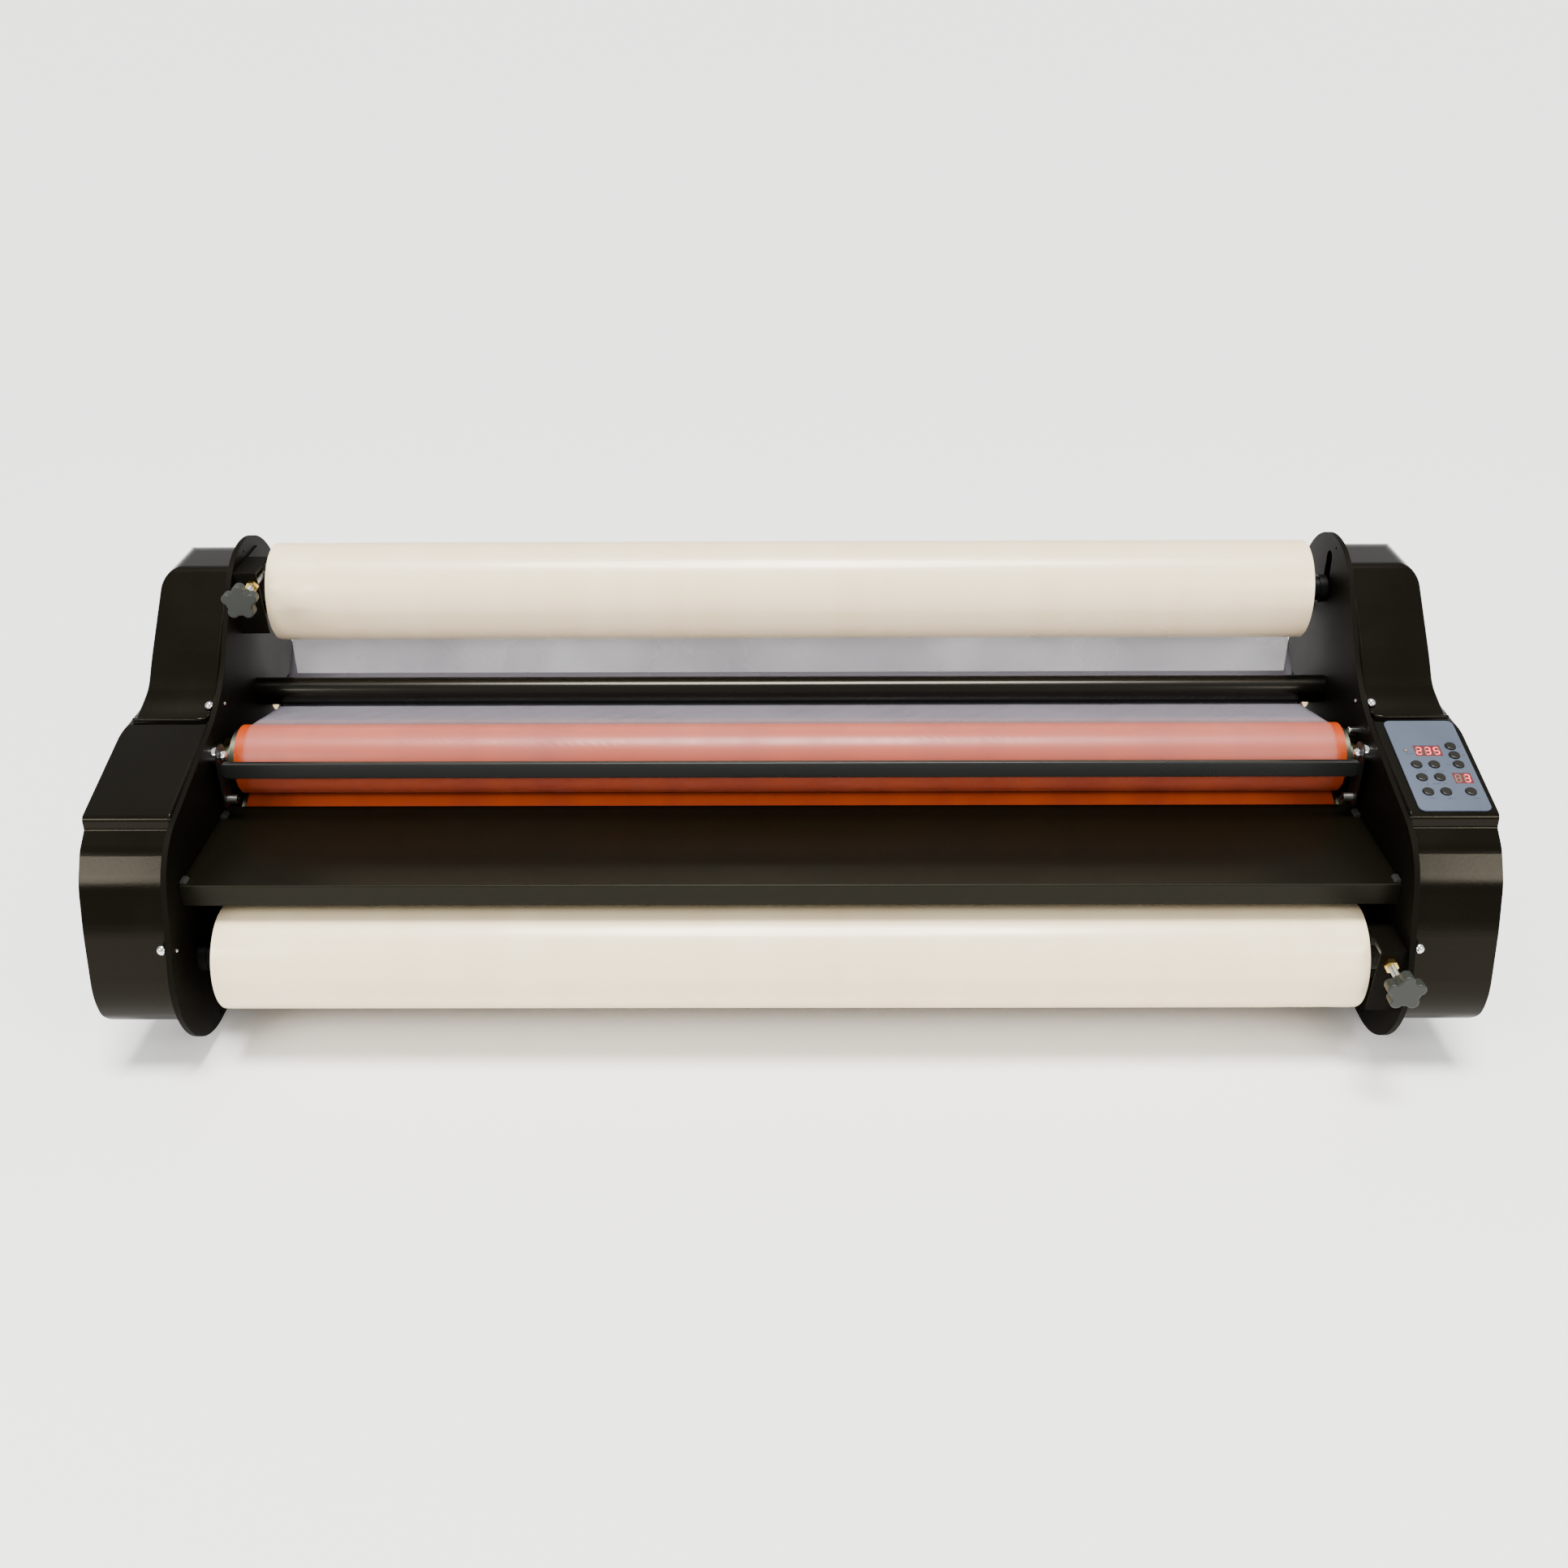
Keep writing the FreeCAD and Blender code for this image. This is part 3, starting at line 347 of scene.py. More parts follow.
@dataclass(frozen=True)
class ClearFilm:
    """Clear adhesive-backed film: a haze in front of the depth hung_from, a grey veil behind it.

    In front, the haze grows from shaded_nip_veil at the height nip_from to veil at nip_to; this thinning is
    painted shade, where the guard bar shades the web by the nip. Alpha counts twice, because the sheet is
    closed and has two faces.
    """

    name: str
    tint: Colour
    veil: float
    hung_tint: Colour
    hung_veil: float
    hung_from: float
    hung_blend: float = 0.03
    # Haze at the nip, kept thin as painted shade of the guard bar.
    shaded_nip_veil: float = 0.01
    nip_from: float = 0.178
    nip_to: float = 0.250
    ripple: float = 0.00012
    roughness: float = 0.30

    def build(self) -> bpy.types.Material:
        """The material."""
        s = Shader(self.name)
        x, y, z = s.axes()
        wander = s.grain(14.0, 3.0)
        slant = (x * 620.0 + y * 900.0 + wander * 22.0).math("SINE") * 0.5 + 0.5
        patch = s.between(s.grain(5.0, 2.0), 0.42, 0.62, 0.0, 1.0)
        ripples = slant * patch + s.grain(180.0, 2.0, (0.3, 1.0, 1.0)) * 0.6
        hung = s.between(y, self.hung_from, self.hung_from + self.hung_blend, 0.0, 1.0)
        haze = s.between(s.grain(8.0, 4.0), 0.3, 0.75, 0.88, 1.12)
        # Painted shade: the haze thins with height towards the nip, standing in for the guard bar's shade on
        # the web.
        laid_veil_with_painted_shade = s.between(z, self.nip_from, self.nip_to, self.shaded_nip_veil, self.veil)
        veil = hung * self.hung_veil + (1.0 - hung) * laid_veil_with_painted_shade
        rough = s.between(wander, 0.3, 0.7, self.roughness * 0.8, self.roughness * 1.3)
        return s.finish({"Base Color": s.blend(hung, self.tint, self.hung_tint), "Roughness": rough,
                         "Alpha": (veil * haze).math("MINIMUM", 1.0), "Normal": s.bump(ripples, self.ripple),
                         "IOR": 1.5})


@dataclass(frozen=True)
class Matt:
    """Rubber, card, felt and circuit board: a matt ground with a coarse and a fine grain."""

    name: str
    tint: Colour
    shade: Colour
    roughness: float
    coarse: float = 60.0
    fine: float = 900.0
    depth: float = 0.00006
    stretch: Colour = (1.0, 1.0, 1.0)

    def build(self) -> bpy.types.Material:
        """The material."""
        s = Shader(self.name)
        coarse = s.grain(self.coarse, 4.0, self.stretch)
        fine = s.grain(self.fine, 2.0, self.stretch)
        rough = s.between(fine, 0.3, 0.7, self.roughness * 0.92, min(1.0, self.roughness * 1.08))
        return s.finish({"Base Color": s.blend(s.between(coarse, 0.35, 0.7, 0.0, 1.0), self.tint, self.shade),
                         "Roughness": rough,
                         "Normal": s.bump(coarse * 0.4 + fine * 0.6, self.depth)})


@dataclass(frozen=True)
class Glow:
    """Lit segment of a number display, its glow varied a little by a fine noise."""

    name: str
    tint: Colour
    strength: float

    def build(self) -> bpy.types.Material:
        """The material."""
        s = Shader(self.name)
        flicker = s.between(s.grain(900.0, 1.0), 0.3, 0.7, 0.8, 1.0)
        pale = tuple(min(1.0, c + 0.12) for c in self.tint)
        return s.finish({"Base Color": self.tint, "Roughness": 0.35,
                         "Emission Color": s.blend(flicker, self.tint, pale),
                         "Emission Strength": self.strength})


class Finish(Enum):
    """Every finish on the machine."""

    SHELL = Moulding("shell_gloss_black", (0.0010, 0.0008, 0.0003), 0.19, 0.00007, 520.0,
                     (1.0, 0.9, 0.7), 0.12)
    PLATE = Paint("plate_satin_black", (0.0014, 0.0012, 0.0006), 0.58, 0.00003, 0.12, (1.0, 0.92, 0.78), 0.05)
    TABLE = Paint("table_satin_black", (0.0022, 0.0019, 0.0008), 0.34, 0.00002, 0.10, (1.0, 0.94, 0.74), 0.13)
    GUARD = Paint("guard_grey", (0.006, 0.0065, 0.006), 0.30, 0.00001, 0.08, (1.0, 1.0, 1.0), 0.22)
    EAR = Paint("ear_black", (0.003, 0.003, 0.0025), 0.34, 0.00001, 0.08)
    IDLER = Paint("idler_gloss_black", (0.0010, 0.0009, 0.0005), 0.20, 0.00001, 0.06, (1.0, 0.94, 0.8), 0.25)
    SHAFT = Paint("shaft_black", (0.002, 0.002, 0.002), 0.42, 0.00003, 0.12, (1.0, 1.0, 1.0), 0.12)
    SILICONE = Silicone()
    ROLL = WoundFilm()
    WEB = ClearFilm("film_web_upper", (0.66, 0.44, 0.46), 0.072, (0.22, 0.205, 0.25), 0.66, 0.014)
    WEB_LOWER = ClearFilm("film_web_lower", (0.52, 0.40, 0.40), 0.015, (0.52, 0.40, 0.40), 0.015, 0.9)
    STEEL = Metal("turned_steel", (0.46, 0.45, 0.42), 0.28)
    HUB = Metal("dull_steel", (0.115, 0.12, 0.09), 0.42)
    CHROME = Metal("bright_chrome", (0.80, 0.80, 0.80), 0.10, (1.0, 1.0, 1.0), 0.000004)
    BRASS = Metal("plain_brass", (0.60, 0.42, 0.13), 0.24)
    GEAR = Metal("machined_gear_steel", (0.30, 0.29, 0.27), 0.38, (0.3, 1.0, 1.0))
    MOTOR = Paint("motor_grey", (0.06, 0.06, 0.062), 0.42)
    KNOB = Moulding("knob_grey", (0.013, 0.015, 0.012), 0.48, 0.00006, 1400.0, (1.0, 1.0, 1.0), 0.3)
    CLIP = Moulding("clip_grey", (0.012, 0.013, 0.012), 0.42, 0.00003, 900.0, (1.0, 1.0, 1.0), 0.2)
    SOCKET = Moulding("socket_black", (0.004, 0.004, 0.004), 0.40, 0.00003, 1100.0)
    KEY = Moulding("key_black", (0.0055, 0.0048, 0.003), 0.30, 0.00002, 1600.0, (1.0, 1.0, 1.0), 0.3)
    OVERLAY = Moulding("overlay_blue_grey", (0.048, 0.062, 0.088), 0.42, 0.00002, 2200.0,
                       (1.0, 1.0, 1.0), 0.3)
    PRINT = Moulding("overlay_print", (0.022, 0.027, 0.038), 0.5, 0.00001, 2200.0)
    WINDOW = Moulding("display_window", (0.075, 0.012, 0.014), 0.2, 0.000004, 900.0)
    LIT = Glow("segment_lit", (1.0, 0.05, 0.07), 1.1)
    UNLIT = Moulding("segment_unlit", (0.12, 0.09, 0.06), 0.4, 0.00001, 900.0)
    RUBBER = Matt("black_rubber", (0.006, 0.006, 0.006), (0.010, 0.010, 0.010), 0.72)
    CARD = Matt("core_card", (0.36, 0.24, 0.13), (0.28, 0.18, 0.10), 0.85, 80.0, 700.0, 0.0001,
                (1.0, 0.3, 0.3))
    FELT = Matt("brake_felt", (0.10, 0.095, 0.08), (0.16, 0.15, 0.13), 0.95, 300.0, 2400.0, 0.0002)
    BOARD = Matt("circuit_board", (0.015, 0.09, 0.035), (0.02, 0.13, 0.05), 0.45, 260.0, 1500.0, 0.00004)


_built: dict[str, bpy.types.Material] = {}


def material(finish: Finish) -> bpy.types.Material:
    """The one material of a finish, made when it is first asked for."""
    if finish.name not in _built:
        _built[finish.name] = finish.value.build()
    return _built[finish.name]


def dress(finish: Finish, *nodes: str) -> None:
    """Give CAD nodes a finish.

    Args:
        finish: The finish.
        nodes: The nodes' names.
    """
    for name in nodes:
        mesh = frame["nodes"][name].data
        mesh.materials.clear()
        mesh.materials.append(material(finish))
        log.info("dressed %s in %s", name, finish.name)


# ---- mesh helpers ------------------------------------------------------------
def new_piece(name: str, verts: list, faces: list, finish: Finish, body: str,
              smooth: bool = True) -> bpy.types.Object:
    """Make a mesh piece that rides on a body.

    Args:
        name: The piece's name.
        verts: Its points in the row frame.
        faces: Its faces.
        finish: Its finish.
        body: The CAD body that it moves with.
        smooth: Whether it is shaded smooth.

    Returns:
        The new object.
    """
    mesh = bpy.data.meshes.new(name)
    mesh.from_pydata([tuple(v) for v in verts], [], faces)
    mesh.validate()
    for polygon in mesh.polygons:
        polygon.use_smooth = smooth
    mesh.materials.append(material(finish))
    piece = bpy.data.objects.new(name, mesh)
    bpy.context.scene.collection.objects.link(piece)
    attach(piece, body)
    log.info("made %s: %d faces on %s", name, len(mesh.polygons), body)
    return piece


def outward(piece: bpy.types.Object) -> None:
    """Turn all faces of a closed mesh outwards."""
    work = bmesh.new()
    work.from_mesh(piece.data)
    bmesh.ops.recalc_face_normals(work, faces=work.faces)
    work.to_mesh(piece.data)
    work.free()


def grid_faces(rows: int, columns: int, close_rows: bool = False, close_columns: bool = False) -> list:
    """Quads of a grid of points stored row by row.

    Args:
        rows: Number of rows.
        columns: Points in a row.
        close_rows: Whether the last row joins the first.
        close_columns: Whether a row is a ring.

    Returns:
        The faces.
    """
    faces = []
    for i in range(rows if close_rows else rows - 1):
        for j in range(columns if close_columns else columns - 1):
            below, beside = (i + 1) % rows, (j + 1) % columns
            here, under = i * columns, below * columns
            faces.append((here + j, here + beside, under + beside, under + j))
    return faces


def tube(path: list[Vector], radius: float, sides: int = 12) -> tuple[list, list]:
    """Closed round bar along a path.

    Args:
        path: Points of its centre line.
        radius: Its radius.
        sides: Points round it.

    Returns:
        Points and faces.
    """
    verts: list[Vector] = []
    across = Vector((0.3, 0.5, 0.8))
    last = len(path) - 1
    for index, point in enumerate(path):
        ahead = (path[min(index + 1, last)] - path[max(index - 1, 0)]).normalized()
        across = (across - ahead * across.dot(ahead)).normalized()
        up = ahead.cross(across)
        for k in range(sides):
            angle = 2 * math.pi * k / sides
            verts.append(point + (across * math.cos(angle) + up * math.sin(angle)) * radius)
    faces = grid_faces(len(path), sides, False, True)
    faces.append(tuple(range(sides - 1, -1, -1)))
    faces.append(tuple(range(last * sides, (last + 1) * sides)))
    return verts, faces


def turned(profile: list[Place], y: float, z: float, sides: int = 40) -> tuple[list, list]:
    """Closed ring turned about an axis along X.

    Args:
        profile: Its section as a loop of (X, radius).
        y: The axis's Y.
        z: The axis's Z.
        sides: Points round it.

    Returns:
        Points and faces.
    """
    verts = []
    for x, r in profile:
        for k in range(sides):
            angle = 2 * math.pi * k / sides
            verts.append((x, y + r * math.cos(angle), z + r * math.sin(angle)))
    return verts, grid_faces(len(profile), sides, True, True)


def axle(node: str) -> tuple[float, float, float]:
    """Axis and radius of a CAD node that is round about X: (Y, Z, radius)."""
    low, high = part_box(node)
    return (low.y + high.y) / 2, (low.z + high.z) / 2, (high.z - low.z) / 2


# ---- film path ---------------------------------------------------------------
@dataclass(frozen=True)
class Wheel:
    """A roller that the film bends round: turn is 1 with the roller on the film's left, -1 on its right."""

    y: float
    z: float
    radius: float
    turn: int

    def touch(self, heading: float) -> Place:
        """Point of the film on the roller where it heads this way."""
        reach = -self.turn * self.radius
        return self.y - math.sin(heading) * reach, self.z + math.cos(heading) * reach

    def heading_to(self, other: "Wheel") -> float:
        """Heading of the straight run from this roller to another."""
        dy, dz = other.y - self.y, other.z - self.z
        lift = other.turn * other.radius - self.turn * self.radius
        return math.atan2(dz, dy) - math.asin(lift / math.hypot(dy, dz))


@dataclass(frozen=True)
class Station:
    """A point along the film: place, heading, distance from the start, and how free the film is (0 to 1)."""

    y: float
    z: float
    heading: float
    along: float
    slack: float


def film_stations(wheels: list[Wheel], last_heading: float, tail: float, step: float) -> list[Station]:
    """Walk along a film that leaves the first roller and bends round the others.

    Args:
        wheels: The rollers in order.
        last_heading: Heading at which the film leaves the last roller.
        tail: Straight length after it.
        step: Spacing of the stations.

    Returns:
        The stations.
    """
    headings = [a.heading_to(b) for a, b in zip(wheels, wheels[1:])] + [last_heading]
    stations: list[Station] = []
    along = 0.0

    def straight(start: Place, end: Place, heading: float) -> None:
        """Add the stations of a straight run."""
        nonlocal along
        length = math.dist(start, end)
        count = max(2, round(length / step))
        for k in range(1, count + 1):
            share = k / count
            y = start[0] + (end[0] - start[0]) * share
            z = start[1] + (end[1] - start[1]) * share
            stations.append(Station(y, z, heading, along + length * share, math.sin(math.pi * share)))
        along += length

    first = wheels[0].touch(headings[0])
    stations.append(Station(*first, headings[0], 0.0, 0.0))
    for index, wheel in enumerate(wheels[1:], start=1):
        arrive, leave = headings[index - 1], headings[index]
        straight(wheels[index - 1].touch(arrive), wheel.touch(arrive), arrive)
        turn = (leave - arrive) * wheel.turn % (2 * math.pi)
        count = max(3, round(turn * wheel.radius / step * 1.6))
        for k in range(1, count + 1):
            heading = arrive + wheel.turn * turn * k / count
            reached = along + turn * wheel.radius * k / count
            stations.append(Station(*wheel.touch(heading), heading, reached, 0.0))
        along += turn * wheel.radius
    if tail:
        start = wheels[-1].touch(last_heading)
        straight(start, (start[0] + tail * math.cos(last_heading), start[1] + tail * math.sin(last_heading)),
                 last_heading)
    return stations


@dataclass
class FilmWebs:
    """The two clear webs, from their rolls over the idlers to the nip and out at the back."""

    stand_off: float = 0.55 * MM
    thickness: float = 0.10 * MM
    step: float = 4.0 * MM
    cross_step: float = 5.0 * MM
    slack_wave: float = 0.45 * MM
    contact_wave: float = 0.05 * MM

    def wheel(self, node: str, turn: int) -> Wheel:
        """The circle that the film follows round a CAD roller."""
        y, z, radius = axle(node)
        return Wheel(y, z, radius + self.stand_off, turn)

    def wave(self, x: float, station: Station) -> float:
        """How far the film stands off its path at a point.

        Args:
            x: Place across the film.
            station: Place along it.

        Returns:
            The distance to its left.
        """
        fan = math.sin(x * 190.0 + station.along * 130.0 + 2.5 * math.sin(x * 9.0))
        broad = noise.noise(Vector((x * 6.0, station.along * 14.0, 3.0)))
        fine = noise.noise(Vector((x * 60.0, station.along * 20.0, 7.0)))
        size = self.contact_wave + (self.slack_wave - self.contact_wave) * station.slack
        return size * (0.45 * fan + 0.8 * broad + 0.35 * fine)

    def sheet(self, name: str, node: str, stations: list[Station], finish: Finish) -> None:
        """Args:
            name: The piece's name.
            node: The CAD node that it stands for.
            stations: Its path.
            finish: Its finish.
        """
        low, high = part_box(node)
        width = high.x - low.x
        columns = round(width / self.cross_step) + 1
        verts = []
        for side in (1, -1):
            for station in stations:
                for j in range(columns):
                    x = low.x + width * j / (columns - 1)
                    off = self.wave(x, station) + side * self.thickness / 2
                    verts.append((x, station.y - math.sin(station.heading) * off,
                                  station.z + math.cos(station.heading) * off))
        rows = len(stations)
        top = grid_faces(rows, columns)
        shift = rows * columns
        faces = top + [tuple(reversed([i + shift for i in face])) for face in top]
        rim = [j for j in range(columns)] + [i * columns + columns - 1 for i in range(1, rows)]
        rim += [(rows - 1) * columns + j for j in range(columns - 2, -1, -1)]
        rim += [i * columns for i in range(rows - 2, 0, -1)]
        for a, b in zip(rim, rim[1:] + rim[:1]):
            faces.append((b, a, a + shift, b + shift))
        piece = new_piece(name, verts, faces, finish, "frame")
        outward(piece)
        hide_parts(node)
        length = stations[-1].along
        log.info("%s is %.0f x %.0f mm flat", name, width / MM, length / MM)

    def build(self) -> None:
        """Make both webs."""
        for side, turn, last_heading, finish in (("upper", -1, 2 * math.pi, Finish.WEB),
                                                 ("lower", 1, 0.0, Finish.WEB_LOWER)):
            rests_on = [side + part for part in ("_film_roll", "_idler_bar", "_roller_sleeve")]
            wheels = [self.wheel(node, way) for node, way in zip(rests_on, (turn, turn, -turn))]
            node = side + "_film_web"
            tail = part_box(node)[1].y - wheels[-1].y if side == "lower" else 0.0
            stations = film_stations(wheels, last_heading, tail, self.step)
            self.sheet(side + "_web", node, stations, finish)


# ---- supply rolls ------------------------------------------------------------
@dataclass
class SupplyRoll:
    """One film roll, its core, shaft, brake and tension knob."""

    side: str
    body: str
    crease_x: float
    seed: float
    spokes: int = 144
    rings: int = 22
    ring_step: float = 0.10 * MM
    long_steps: int = 150
    sink: float = 0.25 * MM
    crease: float = 0.9 * MM

    def surface_sink(self, x: float, angle: float, half: float) -> float:
        """How far the outer turn lies inside the roll's full radius.

        Args:
            x: Place along the roll.
            angle: Angle about its axis.
            half: Half of its length.

        Returns:
            The distance.
        """
        soft = noise.noise(Vector((x * 3.0, math.cos(angle) * 1.1, math.sin(angle) * 1.1 + self.seed)))
        sink = self.sink * (0.5 + 0.5 * soft)
        near = math.exp(-((x - self.crease_x) / 0.032) ** 2)
        fold = noise.noise(Vector((x * 46.0, math.cos(angle) * 3.2 + self.seed, math.sin(angle) * 3.2)))
        sink += self.crease * near * max(0.0, fold + 0.15)
        edge = half - abs(x)
        return sink + 0.35 * MM * math.exp(-edge / 0.0015)

    def build_roll(self) -> None:
        """Make the wound film as a closed turned body with layered ends."""
        node = self.side + "_film_roll"
        y, z, radius = axle(node)
        low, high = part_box(node)
        core = axle(self.side + "_core_tube")[2] + 0.05 * MM
        half = (high.x - low.x) / 2
        profile = []
        for end in (-1, 1):
            face = []
            for k in range(self.rings + 1):
                r = core + (radius - core) * k / self.rings
                step = self.ring_step * (0.5 + 0.5 * math.sin(k * 2.1 + self.seed)) + 0.02 * MM
                face.append((end * (half - step), r, False))
            if end < 0:
                profile += face
                for k in range(1, self.long_steps):
                    profile.append((-half + 2 * half * k / self.long_steps, radius, True))
            else:
                profile += list(reversed(face))
        verts = []
        for x, r, outer in profile:
            for k in range(self.spokes):
                angle = 2 * math.pi * k / self.spokes
                here = r - self.surface_sink(x, angle, half) if outer or r > radius - MM * 0.01 else r
                verts.append((x, y + here * math.cos(angle), z + here * math.sin(angle)))
        faces = grid_faces(len(profile), self.spokes, True, True)
        piece = new_piece(self.side + "_wound_film", verts, faces, Finish.ROLL, self.body)
        outward(piece)
        piece.data.set_sharp_from_angle(angle=math.radians(50))
        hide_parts(node)

    def build(self) -> None:
        """Make the roll and dress the CAD pieces of its shaft and brake."""
        self.build_roll()
        dress(Finish.CARD, self.side + "_core_tube")
        dress(Finish.SHAFT, self.side + "_supply_shaft")
        dress(Finish.KNOB, self.side + "_tension_knob")
        dress(Finish.STEEL, self.side + "_tension_rod")


# ---- keypad ------------------------------------------------------------------
SEGMENTS = {"a": ((-1, 2), (1, 2)), "b": ((1, 2), (1, 0)), "c": ((1, 0), (1, -2)), "d": ((-1, -2), (1, -2)),
            "e": ((-1, 0), (-1, -2)), "f": ((-1, 2), (-1, 0)), "g": ((-1, 0), (1, 0))}
DIGITS = {"2": "abged", "3": "abgcd", "5": "afgcd", " ": ""}


@dataclass
class Keypad:
    """The sloping keypad: overlay, ten keys, two number displays, indicator and printed marks."""

    node: str = "panel_overlay"
    overlay_t: float = 1.2 * MM
    film: float = 0.12 * MM
    digit_half: float = 2.15 * MM
    digit_rise: float = 2.35 * MM
    stroke: float = 0.62 * MM
    lean: float = 0.10
    mark_gap: float = 8.6 * MM
    mark_half: float = 1.2 * MM
    rule: float = 0.8 * MM
    mark_shift: float = 2.5 * MM
    windows: tuple = ((-2.25 * MM, 18.58 * MM, "235", 8.05 * MM), (18.25 * MM, -18.73 * MM, " 3", 8.05 * MM))

    def __post_init__(self) -> None:
        """Find the overlay's plane from the first key's travel."""
        low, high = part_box(self.node)
        travel = next(j for j in frame["joints"] if j["name"] == "key_01_press")["axis"]
        self.normal = -Vector(travel).normalized()
        self.up = Vector((0.0, self.normal.z, -self.normal.y))
        self.centre = (low + high) / 2

    def at(self, across: float, up: float, out: float) -> Vector:
        """Point of the row frame at a place on the overlay, out above its face."""
        return (self.centre + Vector((1, 0, 0)) * across + self.up * up
                + self.normal * (self.overlay_t / 2 + out))

    def where(self, node: str) -> Place:
        """Place of a CAD node's middle on the overlay."""
        low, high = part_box(node)
        offset = (low + high) / 2 - self.centre
        return offset.x, offset.dot(self.up)

    def slab(self, outlines: list, base: float, height: float) -> tuple[list, list]:
        """Thin prisms on the overlay.

        Args:
            outlines: Each prism's corners, anticlockwise, as (across, up).
            base: Height of their feet above the overlay's face.
            height: Their thickness.

        Returns:
            Points and faces.
        """
        verts, faces = [], []
        for outline in outlines:
            count, start = len(outline), len(verts)
            verts += [self.at(u, v, base) for u, v in outline]
            verts += [self.at(u, v, base + height) for u, v in outline]
            faces.append(tuple(range(start + count - 1, start - 1, -1)))
            faces.append(tuple(range(start + count, start + 2 * count)))
            for k in range(count):
                n = (k + 1) % count
                faces.append((start + k, start + n, start + count + n, start + count + k))
        return verts, faces

    def stroke_outline(self, centre: Place, name: str) -> list:
        """Six-sided outline of one segment of a digit."""
        (x0, y0), (x1, y1) = SEGMENTS[name]
        scale_x, scale_y = self.digit_half, self.digit_rise
        a = Vector((x0 * scale_x, y0 * scale_y))
        b = Vector((x1 * scale_x, y1 * scale_y))
        along = (b - a).normalized()
        across = Vector((-along.y, along.x)) * self.stroke
        a, b = a + along * self.stroke * 0.25, b - along * self.stroke * 0.25
        inner_a, inner_b = a + along * self.stroke, b - along * self.stroke
        corners = [a, inner_a - across, inner_b - across, b, inner_b + across, inner_a + across]
        return [(centre[0] + c.x + c.y * self.lean, centre[1] + c.y) for c in corners]

    def digits(self) -> None:
        """Make the lit and the dark segments."""
        lit, dark = [], []
        for across, up, text, pitch in self.windows:
            for index, character in enumerate(text):
                centre = (across + (index - (len(text) - 1) / 2) * pitch, up)
                for name in SEGMENTS:
                    (lit if name in DIGITS[character] else dark).append(self.stroke_outline(centre, name))
        window_face = -0.2 * MM
        new_piece("digits_lit", *self.slab(lit, window_face, self.film), Finish.LIT, "frame", False)
        new_piece("digits_dark", *self.slab(dark, window_face, self.film * 0.5), Finish.UNLIT, "frame", False)

    def disc(self, centre: Place, radius: float, sides: int = 28) -> list:
        """Round outline."""
        return [(centre[0] + radius * math.cos(2 * math.pi * k / sides),
                 centre[1] + radius * math.sin(2 * math.pi * k / sides)) for k in range(sides)]

    def bar(self, centre: Place, width: float, height: float) -> list:
        """Rectangular outline."""
        u, v = centre
        return [(u - width / 2, v - height / 2), (u + width / 2, v - height / 2),
                (u + width / 2, v + height / 2), (u - width / 2, v + height / 2)]

    def arrow(self, centre: Place, size: float) -> list:
        """Triangle that points up for a positive size and down for a negative one."""
        u, v = centre
        corners = [(u - size, v - size * 0.8), (u + size, v - size * 0.8), (u, v + size)]
        return corners

    def marks(self) -> None:
        """Print the arrows and the short rules beside the keys."""
        key = {number: self.where("button_%02d" % number) for number in range(1, 11)}
        gap, half, rule, shift = self.mark_gap, self.mark_half, self.rule, self.mark_shift
        shapes = [self.arrow((key[n][0] + gap, key[n][1]), turn * half) for n, turn in ((1, 1), (2, -1))]
        shapes += [self.arrow((key[n][0] + shift, key[n][1] - gap), turn * half)
                   for n, turn in ((6, 1), (7, -1))]
        for number, width in ((4, 9.0), (5, 7.5), (8, 6.0), (9, 6.0), (10, 6.5)):
            shapes.append(self.bar((key[number][0] + 2.4 * MM, key[number][1] - gap), width * MM, rule))
        shapes.append(self.bar((key[3][0] - 9.0 * MM, key[3][1]), 5.0 * MM, rule))
        shapes.append(self.bar(((key[6][0] + key[7][0]) / 2 + shift, key[6][1] - gap), 7.5 * MM, rule))
        shapes.append(self.bar((key[4][0] - 2.0 * MM, key[4][1] + 15.0 * MM), 7.0 * MM, rule))
        new_piece("panel_marks", *self.slab(shapes, 0.0, 0.05 * MM), Finish.PRINT, "frame", False)

    def indicator(self) -> None:
        """Small indicator lamp above the left keys, as a low dome in a dark ring."""
        u, v = self.where("button_04")
        centre = (u - 4.2 * MM, v + 19.6 * MM)
        new_piece("indicator_ring", *self.slab([self.disc(centre, 2.3 * MM)], 0.0, 0.25 * MM), Finish.PRINT,
                  "frame", False)
        rows, sides, radius, rise = 6, 24, 1.8 * MM, 0.7 * MM
        verts = []
        for i in range(rows):
            tilt = math.pi / 2 * i / (rows - 0.5)
            r, h = radius * math.cos(tilt), 0.2 * MM + rise * math.sin(tilt)
            verts += [self.at(centre[0] + r * math.cos(2 * math.pi * k / sides),
                              centre[1] + r * math.sin(2 * math.pi * k / sides), h) for k in range(sides)]
        faces = grid_faces(rows, sides, False, True)
        faces.append(tuple(range(sides - 1, -1, -1)))
        faces.append(tuple(range((rows - 1) * sides, rows * sides)))
        lens = new_piece("indicator_lens", verts, faces, Finish.UNLIT, "frame")
        outward(lens)

    def build(self) -> None:
        """Dress the CAD pieces and add the display and the marks."""
        dress(Finish.OVERLAY, self.node)
        dress(Finish.WINDOW, "display_windows")
        dress(Finish.BOARD, "control_board")
        dress(Finish.KEY, *["button_%02d" % number for number in range(1, 11)])
        self.digits()
        self.marks()
        self.indicator()


